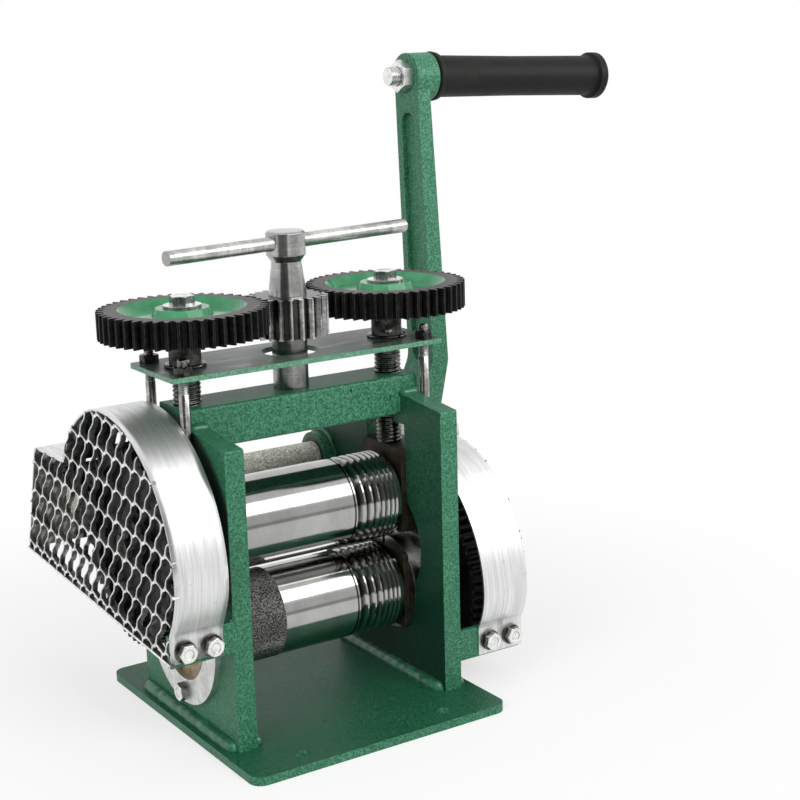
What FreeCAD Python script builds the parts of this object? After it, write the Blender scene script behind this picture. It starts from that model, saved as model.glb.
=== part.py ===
import FreeCAD, Part
import math
import os

# Jewellers' combination rolling mill, hand cranked, on a bolt-down base plate.
# Millimetres. +X runs along the rolls towards the crank, -Y is the feed side,
# +Z is up. The origin is the middle of the base plate's underside.

# ---- base plate ----
BASE_SIDE_MARGIN = 9.0
BASE_DEPTH = 194.0
BASE_THICK = 5.2
BASE_CORNER_R = 8.0
BASE_HOLE_R = 4.5
BASE_HOLE_FROM_SIDE = 38.0
BASE_HOLE_FROM_FRONT = 13.0

# ---- rolls ----
ROLL_R = 27.5
ROLL_LENGTH = 120.0
LOWER_ROLL_Z = 60.7
ROLL_GAP = 4.8
GROOVES_START = 25.0
GROOVE_LEAD_WIDTH = 1.2
GROOVE_LEAD_DEPTH = 0.6
GROOVE_DEPTHS = (2.6, 2.2, 1.9, 1.6, 1.35, 1.1, 0.9)
GROOVE_LAND = 1.0
NECK_R = 16.0
NECK_STUB = 19.0
GEAR_SEAT_R = 12.0
ROLL_END_CHAMFER = 0.8

# ---- side frames ----
ROLL_SIDE_GAP = 6.0
FRAME_THICK = 12.0
FRAME_FRONT_Y = -61.0
FRAME_FOOT_REAR_Y = 61.0
FRAME_SHOULDER_Z = 182.8
FRAME_TOP_Z = 187.3
FRAME_EAR_Y = 94.6
FRAME_CORNER_R = 1.5
FRAME_REAR_SHOULDER = (58.0, 173.0, 14.0)
FRAME_REAR_SLOPE = (80.0, 152.0, 12.0)
FRAME_EAR_TOP_Z = 137.0
FRAME_EAR_TOP_R = 15.0
FRAME_EAR_BOTTOM_Z = 74.0
FRAME_EAR_BOTTOM_R = 16.0
FRAME_FOOT_TOP_Z = 46.0
FRAME_FOOT_TOP_R = 18.0
WINDOW_R = 37.0
WINDOW_Z = 89.0
SLOT_TOP_Z = 168.0

# ---- top beam ----
BEAM_PROUD = 1.0
BEAM_HALF_DEPTH = 17.0
BEAM_BOTTOM_Z = 173.5
BEAM_TOP_Z = 198.0
BEAM_EDGE_R = 2.0
BEAM_SEAT_CLEAR = 0.1

# ---- bearings ----
BLOCK_HALF_WIDTH = 21.5
BLOCK_FLANGE_HALF_WIDTH = 22.8
BLOCK_FLANGE_THICK = 3.5
BLOCK_SLIDE_CLEAR = 0.1
UPPER_BLOCK_BELOW = 21.8
UPPER_BLOCK_ABOVE = 32.5
UPPER_BUSH_WALL = 3.0
LOWER_BLOCK_HALF_HEIGHT = 24.5
LOWER_RING_R = 30.0
OIL_SLOT_WIDTH = 3.0
OIL_SLOT_DEPTH = 6.5
OIL_SLOT_OFFSET = 4.0
KEEPER_OUTER_R = 44.0
KEEPER_INNER_R = 29.0
KEEPER_THICK = 4.0
KEEPER_BOLT_EDGE = 6.5
KEEPER_BOLT_COUNT = 3
KEEPER_TOP_ABOVE_AXIS = 32.5

# ---- fits ----
RUNNING_CLEAR = 0.05
SEAT_CLEAR = 0.02
FACE_CLEAR = 0.1

# ---- gear teeth ----
MODULE = 2.0
PRESSURE_ANGLE = math.radians(20.0)
FLANK_CLEARANCE = 0.13
ROLL_GEAR_TEETH = 57
DRIVE_PINION_TEETH = 21
SPINDLE_PINION_TEETH = 22
SCREW_INSET = 3.0

# ---- roll drive ----
DRIVE_GEAR_STANDOFF = 14.0
DRIVE_GEAR_WIDTH = 19.5
GEAR_WEB_RECESS = 4.0
GEAR_WEB_OUTER_R = 48.0
GEAR_HUB_R = 21.0
CROSS_SHAFT_R = 10.0
CROSS_SHAFT_RISE = 8.0
CROSS_SHAFT_PROUD = 1.5
PINION_HUB_R = 16.0
PINION_HUB_LENGTH = 11.0
PINION_SCREW_R = 3.0
SHAFT_BOSS_R = 16.0
SHAFT_BOSS_INSIDE = 8.0
SHAFT_BOSS_OUTSIDE = 2.0
SHAFT_BUSH_WALL = 3.0
IDLER_STUD_SHOULDER_R = 13.0
IDLER_JOURNAL_R = 8.0
IDLER_THREAD_R = 6.0
KEY_WIDTH = 5.0
KEY_HEIGHT = 5.0

# ---- crank ----
HUB_R = 19.0
HUB_STANDOFF = 6.0
HUB_LENGTH = 23.0
ARM_INNER_SETBACK = 5.0
ARM_OUTER_LOW_PROUD = 8.0
ARM_OUTER_HIGH_PROUD = 4.5
ARM_BEND_HIGH_Z = 182.0
ARM_BEND_LOW_Z = 152.0
ARM_LOW_HALF_WIDTH = 15.5
ARM_HIGH_HALF_WIDTH = 13.5
ARM_RIB = 6.0
ARM_POCKET_DEPTH = 3.6
ARM_POCKET_TOP_Z = 350.0
ARM_POCKET_BOTTOM_Z = 181.0
GRIP_EYE_R = 16.0
GRIP_EYE_PROUD = 12.4
GRIP_AXIS_Y = 90.5
GRIP_AXIS_Z = 373.0
CRANK_SHAFT_THREAD_R = 8.0
CRANK_SHAFT_END_PROUD = 19.0

# ---- grip ----
GRIP_END_GAP = 0.9
GRIP_DROOP = 2.0
GRIP_LENGTH = 147.0
GRIP_R = 14.0
GRIP_WAIST_R = 13.6
GRIP_FLANGE_R = 16.6
GRIP_FLANGE_THICK = 4.5
GRIP_END_R = 16.3
GRIP_END_LENGTH = 7.0
GRIP_SPINDLE_R = 8.0
GRIP_BORE_CLEAR = 0.1
GRIP_POCKET_R = 11.6
GRIP_POCKET_LENGTH = 3.0
GRIP_THREAD_R = 6.0
GRIP_THREAD_INSIDE = 14.0

# ---- roll adjustment ----
SCREW_R = 8.3
SCREW_NECK_R = 6.5
THREAD_CLEAR = 0.1
LIFT_PLATE_TOP_Z = 220.3
LIFT_PLATE_THICK = 3.0
LIFT_PLATE_PAST_ROD = 9.5
LIFT_PLATE_HALF_Y = 29.0
SPINDLE_HOLE_R = 17.0
LIFT_ROD_R = 3.0
LIFT_ROD_STANDOFF = 3.5
LIFT_ROD_Y = 22.0
LIFT_ROD_ABOVE = 9.0
LIFT_BAR_BOTTOM_ABOVE_AXIS = 18.0
LIFT_BAR_HEIGHT = 12.0
LIFT_BAR_HALF_LENGTH = 27.5
LIFT_BAR_THICK = 6.4
LIFT_BAR_BOLT_Y = 12.0
SNAP_RING_R = 12.3
SNAP_RING_THICK = 1.6
SCREW_GEAR_BOTTOM_Z = 238.5
SCREW_GEAR_TOP_Z = 254.6
SCREW_GEAR_SLEEVE_R = 9.35
SCREW_GEAR_RECESS_R = 37.0
SCREW_GEAR_RECESS_FLOOR_R = 33.0
SCREW_GEAR_RECESS = 4.6
SCREW_GEAR_BOSS_TOP_R = 15.4
SCREW_GEAR_BOSS_BASE_R = 17.7

# ---- tee handle ----
POST_R = 10.7
POST_SOCKET_DEPTH = 20.0
SPINDLE_PINION_BOTTOM_Z = 230.0
SPINDLE_PINION_WIDTH = 24.0
PINION_SEAT_R = 8.5
TEE_SPIGOT_R = 6.0
TEE_SPIGOT_LENGTH = 12.0
TEE_CONE_BASE_R = 11.5
TEE_CONE_TOP_R = 8.9
TEE_HEAD_R = 11.8
TEE_CONE_HEIGHT = 20.0
TEE_FLARE_HEIGHT = 4.0
TEE_HEAD_HEIGHT = 14.0
TOMMY_BAR_R = 4.25
TOMMY_BAR_LENGTH = 180.0
TOMMY_BAR_BELOW_TOP = 6.8
TOMMY_BAR_TURN = 9.5
TOMMY_BAR_OFF_CENTRE = 5.0

# ---- guards ----
BAND_THICK = 1.2
LEFT_BAND_STANDOFF = 7.0
LEFT_BAND_PAST_GEAR = 5.9
RIGHT_BAND_STANDOFF = 13.0
RIGHT_BAND_PAST_GEAR = 12.5
BAND_BEND_R = 10.0
LEFT_BEND_Z = 84.0
LEFT_TAIL_TOP = (126.0, 154.0, 6.0)
LEFT_TAIL_TIP = (148.5, 82.0, 0)
RIGHT_BEND_Z = 41.5
RIGHT_TAIL_TOP = (110.0, 74.0, 0)
RIGHT_TAIL_TIP = (108.0, 40.0, 0)
GUARD_ARCH_R = 85.0
LEFT_ARCH_Y = 12.0
LEFT_ARCH_Z = 113.5
RIGHT_ARCH_Y = 16.0
RIGHT_ARCH_Z = 62.5
RIGHT_LOBE_R = 31.0
ARCH_START = 176.0
LEFT_ARCH_END = 44.0
FRONT_CORNER_DROP = 14.0
LEFT_ARCH_STEPS = 5
RIGHT_ARCH_STEPS = 3
RIGHT_LOBE_STEPS = 4
GUARD_MESH_THICK = 1.0
MESH_PITCH_Y = 21.0
MESH_PITCH_Z = 34.0
MESH_HALF_WIDTH = 7.5
MESH_HALF_HEIGHT = 12.5
MESH_RIM = 5.0
SHAFT_PASS_R = 14.0
TAB_THICK = 3.4
TAB_HEIGHT = 19.5
LEFT_TAB_BOTTOM_Z = 65.0
RIGHT_TAB_BOTTOM_Z = 22.5
REAR_TAB_LENGTH = 26.0
REAR_TAB_CLEAR = 0.6
LEFT_REAR_TAB_REACH = -15.0
RIGHT_REAR_TAB_REACH = 53.0

# ---- hexagon fasteners: across flats, head height, shank radius ----
M5_HEX = (8.0, 3.5, 2.5)
M6_HEX = (10.0, 4.2, 3.0)
M8_HEX = (13.0, 5.3, 4.0)
M12_NUT = (19.0, 10.0, 6.0)
M16_NUT = (24.0, 12.0, 8.0)
WASHER_THICK = 1.6

# ---- derived places ----
UPPER_ROLL_Z = LOWER_ROLL_Z + 2 * ROLL_R + ROLL_GAP
FRAME_INNER_X = ROLL_LENGTH / 2 + ROLL_SIDE_GAP
FRAME_OUTER_X = FRAME_INNER_X + FRAME_THICK
BASE_WIDTH = 2 * (FRAME_OUTER_X + BASE_SIDE_MARGIN)
BASE_HOLE_X = BASE_WIDTH / 2 - BASE_HOLE_FROM_SIDE
BASE_HOLE_Y = BASE_DEPTH / 2 - BASE_HOLE_FROM_FRONT
BEAM_HALF_LENGTH = FRAME_OUTER_X + BEAM_PROUD
KEEPER_BOLT_CIRCLE_R = KEEPER_OUTER_R - KEEPER_BOLT_EDGE
DRIVE_GEAR_INNER_X = FRAME_OUTER_X + DRIVE_GEAR_STANDOFF
DRIVE_GEAR_OUTER_X = DRIVE_GEAR_INNER_X + DRIVE_GEAR_WIDTH
CROSS_SHAFT_LEFT_END_X = -DRIVE_GEAR_OUTER_X - CROSS_SHAFT_PROUD
BAND_INNER_X = FRAME_OUTER_X + LEFT_BAND_STANDOFF
LEFT_BAND_OUTER_X = DRIVE_GEAR_OUTER_X + LEFT_BAND_PAST_GEAR
RIGHT_BAND_INNER_X = FRAME_OUTER_X + RIGHT_BAND_STANDOFF
RIGHT_BAND_OUTER_X = DRIVE_GEAR_OUTER_X + RIGHT_BAND_PAST_GEAR
HUB_INNER_X = RIGHT_BAND_OUTER_X + HUB_STANDOFF
HUB_OUTER_X = HUB_INNER_X + HUB_LENGTH
ARM_INNER_X = HUB_OUTER_X - ARM_INNER_SETBACK
ARM_OUTER_LOW_X = HUB_OUTER_X + ARM_OUTER_LOW_PROUD
ARM_OUTER_HIGH_X = HUB_OUTER_X + ARM_OUTER_HIGH_PROUD
CRANK_SHAFT_END_X = HUB_OUTER_X + CRANK_SHAFT_END_PROUD
GRIP_EYE_OUTER_X = HUB_OUTER_X + GRIP_EYE_PROUD
GRIP_THREAD_START_X = ARM_INNER_X - GRIP_THREAD_INSIDE
GRIP_START_X = GRIP_EYE_OUTER_X + GRIP_END_GAP
LIFT_ROD_X = FRAME_OUTER_X + LIFT_ROD_STANDOFF
LIFT_PLATE_HALF_X = LIFT_ROD_X + LIFT_PLATE_PAST_ROD
SPINDLE_PINION_TOP_Z = SPINDLE_PINION_BOTTOM_Z + SPINDLE_PINION_WIDTH
TEE_HEAD_BOTTOM_Z = SPINDLE_PINION_TOP_Z + TEE_CONE_HEIGHT
TEE_HEAD_SHOULDER_Z = TEE_HEAD_BOTTOM_Z + TEE_FLARE_HEIGHT
TEE_HEAD_TOP_Z = TEE_HEAD_SHOULDER_Z + TEE_HEAD_HEIGHT
TOMMY_BAR_Z = TEE_HEAD_TOP_Z - TOMMY_BAR_BELOW_TOP
SCREW_GEAR_TEETH = round(2 * (FRAME_INNER_X + SCREW_INSET) / MODULE) - SPINDLE_PINION_TEETH
ROLL_GEAR_CENTRES = MODULE * (ROLL_GEAR_TEETH + DRIVE_PINION_TEETH) / 2
IDLER_CENTRES = MODULE * DRIVE_PINION_TEETH
SCREW_X = MODULE * (SPINDLE_PINION_TEETH + SCREW_GEAR_TEETH) / 2
CROSS_SHAFT_Y = math.sqrt(ROLL_GEAR_CENTRES ** 2 - CROSS_SHAFT_RISE ** 2)
CROSS_SHAFT_Z = UPPER_ROLL_Z + CROSS_SHAFT_RISE
LIFT_PLATE_BOTTOM_Z = LIFT_PLATE_TOP_Z - LIFT_PLATE_THICK
UPPER_BLOCK_TOP_Z = UPPER_ROLL_Z + UPPER_BLOCK_ABOVE
GEAR_HUB_FACE_X = DRIVE_GEAR_OUTER_X - GEAR_WEB_RECESS
GRIP_END_X = GRIP_START_X + GRIP_LENGTH


# ---- drawing helpers ----

def vec(x, y, z):
    return FreeCAD.Vector(x, y, z)


def angle_between(first, second):
    return math.atan2(first.cross(second).Length, first.dot(second))


def rounded_wire(corners, place):
    """Closed wire through (a, b, radius) corners; place turns (a, b) into a point."""
    starts, ends, middles = [], [], []
    count = len(corners)
    for i in range(count):
        a, b, radius = corners[i]
        before = corners[i - 1]
        after = corners[(i + 1) % count]
        back = FreeCAD.Vector(before[0] - a, before[1] - b, 0).normalize()
        ahead = FreeCAD.Vector(after[0] - a, after[1] - b, 0).normalize()
        half = angle_between(back, ahead) / 2
        corner = FreeCAD.Vector(a, b, 0)
        if radius == 0:
            starts.append(corner)
            ends.append(corner)
            middles.append(None)
            continue
        reach = radius / math.tan(half)
        inward = (back + ahead).normalize()
        centre = corner + inward * (radius / math.sin(half))
        starts.append(corner + back * reach)
        ends.append(corner + ahead * reach)
        middles.append(centre - inward * radius)
    edges = []
    for i in range(count):
        if middles[i] is not None:
            edges.append(Part.Arc(place(starts[i]), place(middles[i]), place(ends[i])).toShape())
        following = starts[(i + 1) % count]
        if (following - ends[i]).Length > 1e-6:
            edges.append(Part.makeLine(place(ends[i]), place(following)))
    return Part.Wire(edges)


def slab_x(corners, x0, x1):
    """Solid with a (y, z, radius) outline, from x0 to x1."""
    wire = rounded_wire(corners, lambda p: vec(x0, p.x, p.y))
    return Part.Face(wire).extrude(vec(x1 - x0, 0, 0))


def slab_y(corners, y0, y1):
    """Solid with an (x, z, radius) outline, from y0 to y1."""
    wire = rounded_wire(corners, lambda p: vec(p.x, y0, p.y))
    return Part.Face(wire).extrude(vec(0, y1 - y0, 0))


def slab_z(corners, z0, z1):
    """Solid with an (x, y, radius) outline, from z0 to z1."""
    wire = rounded_wire(corners, lambda p: vec(p.x, p.y, z0))
    return Part.Face(wire).extrude(vec(0, 0, z1 - z0))


def rod_x(y, z, radius, x0, x1):
    return Part.makeCylinder(radius, x1 - x0, vec(x0, y, z), vec(1, 0, 0))


def rod_y(x, z, radius, y0, y1):
    return Part.makeCylinder(radius, y1 - y0, vec(x, y0, z), vec(0, 1, 0))


def rod_z(x, y, radius, z0, z1):
    return Part.makeCylinder(radius, z1 - z0, vec(x, y, z0), vec(0, 0, 1))


def hexagon(across_flats, place):
    radius = across_flats / math.sqrt(3)
    turns = [math.radians(60 * k) for k in range(7)]
    points = [place(radius * math.cos(t), radius * math.sin(t)) for t in turns]
    return Part.Face(Part.makePolygon(points))


def hex_x(y, z, across_flats, x0, x1):
    return hexagon(across_flats, lambda a, b: vec(x0, y + a, z + b)).extrude(vec(x1 - x0, 0, 0))


def hex_y(x, z, across_flats, y0, y1):
    return hexagon(across_flats, lambda a, b: vec(x + a, y0, z + b)).extrude(vec(0, y1 - y0, 0))


def hex_z(x, y, across_flats, z0, z1):
    return hexagon(across_flats, lambda a, b: vec(x + a, y + b, z0)).extrude(vec(0, 0, z1 - z0))


def box(x0, x1, y0, y1, z0, z1):
    return Part.makeBox(x1 - x0, y1 - y0, z1 - z0, vec(x0, y0, z0))


def other_side(shape):
    """The same piece mirrored to the other end of the rolls."""
    return shape.mirror(vec(0, 0, 0), vec(1, 0, 0))


def turned(profile, axis_point, axis):
    """Revolve a closed list of points about an axis."""
    face = Part.Face(Part.makePolygon(profile + [profile[0]]))
    return face.revolve(axis_point, axis, 360)


# ---- gear teeth ----

def involute(radius, base):
    reach = math.sqrt(max((radius / base) ** 2 - 1.0, 0.0))
    return reach - math.atan(reach)


def gear_outline(teeth, phase):
    """(radius, angle) points of a spur gear with a tooth centred on phase."""
    pitch = MODULE * teeth / 2
    base = pitch * math.cos(PRESSURE_ANGLE)
    root = pitch - 1.25 * MODULE
    radii = [root, pitch, pitch + MODULE]
    if base > root:
        radii.insert(1, base)
    at_pitch = math.pi / (2 * teeth) - FLANK_CLEARANCE / pitch + involute(pitch, base)
    flank = [(r, at_pitch - involute(max(r, base), base)) for r in radii]
    points = []
    for k in range(teeth):
        centre = phase + 2 * math.pi * k / teeth
        points += [(r, centre - half) for r, half in flank]
        points += [(r, centre + half) for r, half in reversed(flank)]
    return points


def mesh_phase(teeth, phase, direction, other_teeth):
    """Phase of a gear that meshes with one of this phase, in this direction from it."""
    part = (direction - phase) * teeth / (2 * math.pi)
    return direction + math.pi - (0.5 - part) * 2 * math.pi / other_teeth


def gear_x(y, z, teeth, phase, x0, x1):
    points = [vec(x0, y + r * math.cos(t), z + r * math.sin(t)) for r, t in gear_outline(teeth, phase)]
    return Part.Face(Part.makePolygon(points + [points[0]])).extrude(vec(x1 - x0, 0, 0))


def gear_z(x, y, teeth, phase, z0, z1):
    points = [vec(x + r * math.cos(t), y + r * math.sin(t), z0) for r, t in gear_outline(teeth, phase)]
    return Part.Face(Part.makePolygon(points + [points[0]])).extrude(vec(0, 0, z1 - z0))


def key_seat(y, z, shaft_r, x0, x1, clear):
    """Key standing on top of a shaft that runs along X."""
    half = KEY_WIDTH / 2 + clear
    bottom = z + shaft_r - KEY_HEIGHT / 2 - clear
    top = z + shaft_r + KEY_HEIGHT / 2 + clear
    return box(x0 - clear, x1 + clear, y - half, y + half, bottom, top)


# ---- base and frames ----

def base_plate():
    half_x = BASE_WIDTH / 2
    half_y = BASE_DEPTH / 2
    corners = [(x * half_x, y * half_y, BASE_CORNER_R) for x, y in ((-1, -1), (1, -1), (1, 1), (-1, 1))]
    plate = slab_z(corners, 0, BASE_THICK)
    for x in (-BASE_HOLE_X, BASE_HOLE_X):
        for y in (-BASE_HOLE_Y, BASE_HOLE_Y):
            plate = plate.cut(rod_z(x, y, BASE_HOLE_R, -1, BASE_THICK + 1))
    return plate


def side_frame():
    """Right-hand side plate with its bearing window, beam notch and shaft ear."""
    seat = BEAM_HALF_DEPTH + BEAM_SEAT_CLEAR
    seat_z = BEAM_BOTTOM_Z
    outline = [
        (FRAME_FRONT_Y, BASE_THICK, 0),
        (FRAME_FRONT_Y, FRAME_SHOULDER_Z, FRAME_CORNER_R),
        (-seat, FRAME_TOP_Z, 0),
        (-seat, seat_z, 0),
        (seat, seat_z, 0),
        (seat, FRAME_TOP_Z, 0),
        FRAME_REAR_SHOULDER,
        FRAME_REAR_SLOPE,
        (FRAME_EAR_Y, FRAME_EAR_TOP_Z, FRAME_EAR_TOP_R),
        (FRAME_EAR_Y, FRAME_EAR_BOTTOM_Z, FRAME_EAR_BOTTOM_R),
        (FRAME_FOOT_REAR_Y, FRAME_FOOT_TOP_Z, FRAME_FOOT_TOP_R),
        (FRAME_FOOT_REAR_Y, BASE_THICK, 0),
    ]
    x0, x1 = FRAME_INNER_X, FRAME_OUTER_X
    plate = slab_x(outline, x0, x1)
    slot = BLOCK_HALF_WIDTH + BLOCK_SLIDE_CLEAR
    plate = plate.cut(rod_x(0, WINDOW_Z, WINDOW_R, x0 - 1, x1 + 1))
    plate = plate.cut(rod_x(0, LOWER_ROLL_Z, LOWER_RING_R + SEAT_CLEAR, x0 - 1, x1 + 1))
    plate = plate.cut(box(x0 - 1, x1 + 1, -slot, slot, WINDOW_Z, SLOT_TOP_Z))
    plate = plate.cut(box(x0 - 1, x1 + 1, -SCREW_R - 0.6, SCREW_R + 0.6, SLOT_TOP_Z - 1, seat_z + 1))
    plate = plate.cut(rod_x(CROSS_SHAFT_Y, CROSS_SHAFT_Z, SHAFT_BOSS_R + SEAT_CLEAR, x0 - 1, x1 + 1))
    for y, z in keeper_bolt_places():
        plate = plate.cut(rod_x(y, z, M6_HEX[2] + SEAT_CLEAR, x1 - 10, x1 + 1))
    return plate


def keeper_bolt_places():
    places = []
    for k in range(KEEPER_BOLT_COUNT):
        turn = math.radians(-90 + 360 * k / KEEPER_BOLT_COUNT)
        y = KEEPER_BOLT_CIRCLE_R * math.cos(turn)
        z = LOWER_ROLL_Z + KEEPER_BOLT_CIRCLE_R * math.sin(turn)
        places.append((y, z))
    return places


def top_beam():
    z0, z1 = BEAM_BOTTOM_Z, BEAM_TOP_Z
    half = BEAM_HALF_DEPTH
    outline = [
        (-half, z0, BEAM_EDGE_R), (half, z0, BEAM_EDGE_R),
        (half, z1, BEAM_EDGE_R), (-half, z1, BEAM_EDGE_R),
    ]
    beam = slab_x(outline, -BEAM_HALF_LENGTH, BEAM_HALF_LENGTH)
    for x in (-SCREW_X, SCREW_X):
        beam = beam.cut(rod_z(x, 0, SCREW_R + THREAD_CLEAR, z0 - 1, z1 + 1))
    return beam.cut(rod_z(0, 0, POST_R + RUNNING_CLEAR, z1 - POST_SOCKET_DEPTH, z1 + 1))


# ---- bearings ----

def upper_block():
    """Right-hand sliding block of the upper roll."""
    z0 = UPPER_ROLL_Z - UPPER_BLOCK_BELOW
    z1 = UPPER_BLOCK_TOP_Z
    flange_x = FRAME_INNER_X - FACE_CLEAR
    outer_x = FRAME_OUTER_X + 0.5
    body = box(flange_x, outer_x, -BLOCK_HALF_WIDTH, BLOCK_HALF_WIDTH, z0, z1)
    half = BLOCK_FLANGE_HALF_WIDTH
    corners = [(-half, z0, 3), (half, z0, 3), (half, z1, 3), (-half, z1, 3)]
    block = body.fuse(slab_x(corners, flange_x - BLOCK_FLANGE_THICK, flange_x)).removeSplitter()
    bore = NECK_R + UPPER_BUSH_WALL + RUNNING_CLEAR
    block = block.cut(rod_x(0, UPPER_ROLL_Z, bore, flange_x - BLOCK_FLANGE_THICK - 1, outer_x + 1))
    for y in (-LIFT_BAR_BOLT_Y, LIFT_BAR_BOLT_Y):
        block = block.cut(rod_x(y, lift_bar_middle_z(), M5_HEX[2] + SEAT_CLEAR, outer_x - 9, outer_x + 1))
    return block


def lift_bar_middle_z():
    return UPPER_ROLL_Z + LIFT_BAR_BOTTOM_ABOVE_AXIS + LIFT_BAR_HEIGHT / 2 + 2


def upper_bush():
    inner_x = FRAME_INNER_X - FACE_CLEAR - BLOCK_FLANGE_THICK
    outer_x = FRAME_OUTER_X + 0.4
    shell = rod_x(0, UPPER_ROLL_Z, NECK_R + UPPER_BUSH_WALL, inner_x, outer_x)
    return shell.cut(rod_x(0, UPPER_ROLL_Z, NECK_R + RUNNING_CLEAR, inner_x - 1, outer_x + 1))


def lower_block():
    """Right-hand fixed bearing of the lower roll: square flange, round body."""
    flange_x = FRAME_INNER_X
    half = BLOCK_FLANGE_HALF_WIDTH
    z0 = LOWER_ROLL_Z - LOWER_BLOCK_HALF_HEIGHT
    z1 = LOWER_ROLL_Z + LOWER_BLOCK_HALF_HEIGHT
    corners = [(-half, z0, 3), (half, z0, 3), (half, z1, 3), (-half, z1, 3)]
    inner_x = flange_x - FACE_CLEAR - BLOCK_FLANGE_THICK
    block = slab_x(corners, inner_x, flange_x)
    block = block.fuse(rod_x(0, LOWER_ROLL_Z, BLOCK_HALF_WIDTH, flange_x, FRAME_OUTER_X)).removeSplitter()
    return block.cut(rod_x(0, LOWER_ROLL_Z, NECK_R + RUNNING_CLEAR, inner_x - 1, FRAME_OUTER_X + 1))


def lower_ring():
    ring = rod_x(0, LOWER_ROLL_Z, LOWER_RING_R, FRAME_INNER_X, FRAME_OUTER_X)
    hole_r = BLOCK_HALF_WIDTH + SEAT_CLEAR
    ring = ring.cut(rod_x(0, LOWER_ROLL_Z, hole_r, FRAME_INNER_X - 1, FRAME_OUTER_X + 1))
    top = LOWER_ROLL_Z + LOWER_RING_R
    y0 = OIL_SLOT_OFFSET
    slot = box(FRAME_INNER_X - 1, FRAME_INNER_X + 5, y0, y0 + OIL_SLOT_WIDTH, top - OIL_SLOT_DEPTH, top + 1)
    return ring.cut(slot)


def keeper_plate():
    """Ring that holds the lower bearing in, cut flat below the sliding block."""
    x0, x1 = FRAME_OUTER_X, FRAME_OUTER_X + KEEPER_THICK
    ring = rod_x(0, LOWER_ROLL_Z, KEEPER_OUTER_R, x0, x1)
    ring = ring.cut(rod_x(0, LOWER_ROLL_Z, KEEPER_INNER_R, x0 - 1, x1 + 1))
    top = LOWER_ROLL_Z + KEEPER_TOP_ABOVE_AXIS
    ring = ring.cut(box(x0 - 1, x1 + 1, -KEEPER_OUTER_R, KEEPER_OUTER_R, top, top + KEEPER_OUTER_R))
    for y, z in keeper_bolt_places():
        ring = ring.cut(rod_x(y, z, M6_HEX[2] + SEAT_CLEAR, x0 - 1, x1 + 1))
    return ring


def keeper_bolts():
    flats, height, shank = M6_HEX
    x = FRAME_OUTER_X + KEEPER_THICK
    bolts = []
    for y, z in keeper_bolt_places():
        bolt = hex_x(y, z, flats, x, x + height).fuse(rod_x(y, z, shank, x - 13, x))
        bolts.append(bolt)
    return bolts


# ---- rolls ----

def groove_profile():
    """(x, radius) points of the wire grooves, largest next to the plain face."""
    x = GROOVES_START
    points = [(x, ROLL_R), (x, ROLL_R - GROOVE_LEAD_DEPTH)]
    x += GROOVE_LEAD_WIDTH
    points += [(x, ROLL_R - GROOVE_LEAD_DEPTH), (x, ROLL_R)]
    for depth in GROOVE_DEPTHS:
        x += GROOVE_LAND
        points += [(x, ROLL_R), (x + depth, ROLL_R - depth), (x + 2 * depth, ROLL_R)]
        x += 2 * depth
    return points


def roll(axis_z, geared_side):
    """Roll with necks; its gear seat is on the side with this sign."""
    end = ROLL_LENGTH / 2
    short = end + NECK_STUB
    edge = ROLL_END_CHAMFER
    seat_end = GEAR_HUB_FACE_X - 0.4
    plain_end = [(short, NECK_R), (short, 0)]
    geared_end = [
        (DRIVE_GEAR_INNER_X, NECK_R), (DRIVE_GEAR_INNER_X, GEAR_SEAT_R),
        (seat_end, GEAR_SEAT_R), (seat_end, 0),
    ]
    left_end = plain_end if geared_side > 0 else geared_end
    right_end = geared_end if geared_side > 0 else plain_end
    profile = [(-x, r) for x, r in reversed(left_end)]
    profile += [(-end, NECK_R), (-end, ROLL_R - edge), (-end + edge, ROLL_R)]
    profile += groove_profile()
    profile += [(end - edge, ROLL_R), (end, ROLL_R - edge), (end, NECK_R)]
    profile += right_end
    points = [vec(x, 0, axis_z + r) for x, r in profile]
    solid = turned(points, vec(0, 0, axis_z), vec(1, 0, 0))
    key = roll_key(axis_z, geared_side, SEAT_CLEAR)
    bolt_hole = end_bolt_shank(axis_z, geared_side, SEAT_CLEAR)
    return solid.cut(key).cut(bolt_hole)


def roll_key(axis_z, side, clear):
    key = key_seat(0, axis_z, GEAR_SEAT_R, DRIVE_GEAR_INNER_X + 0.5, GEAR_HUB_FACE_X - 1, clear)
    return key if side > 0 else other_side(key)


def end_bolt_shank(axis_z, side, clear):
    shank = rod_x(0, axis_z, M8_HEX[2] + clear, GEAR_HUB_FACE_X - 18, GEAR_HUB_FACE_X + 0.1)
    return shank if side > 0 else other_side(shank)


def end_bolt(axis_z, side):
    flats, height, shank = M8_HEX
    x = GEAR_HUB_FACE_X + 2 * WASHER_THICK
    bolt = hex_x(0, axis_z, flats, x, x + height).fuse(rod_x(0, axis_z, shank, GEAR_HUB_FACE_X - 18, x))
    return bolt if side > 0 else other_side(bolt)


def end_washer(axis_z, side):
    x = GEAR_HUB_FACE_X
    washer = rod_x(0, axis_z, GEAR_SEAT_R + 5, x, x + 2 * WASHER_THICK)
    washer = washer.cut(rod_x(0, axis_z, M8_HEX[2] + 0.2, x - 1, x + 5))
    return washer if side > 0 else other_side(washer)


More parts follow.
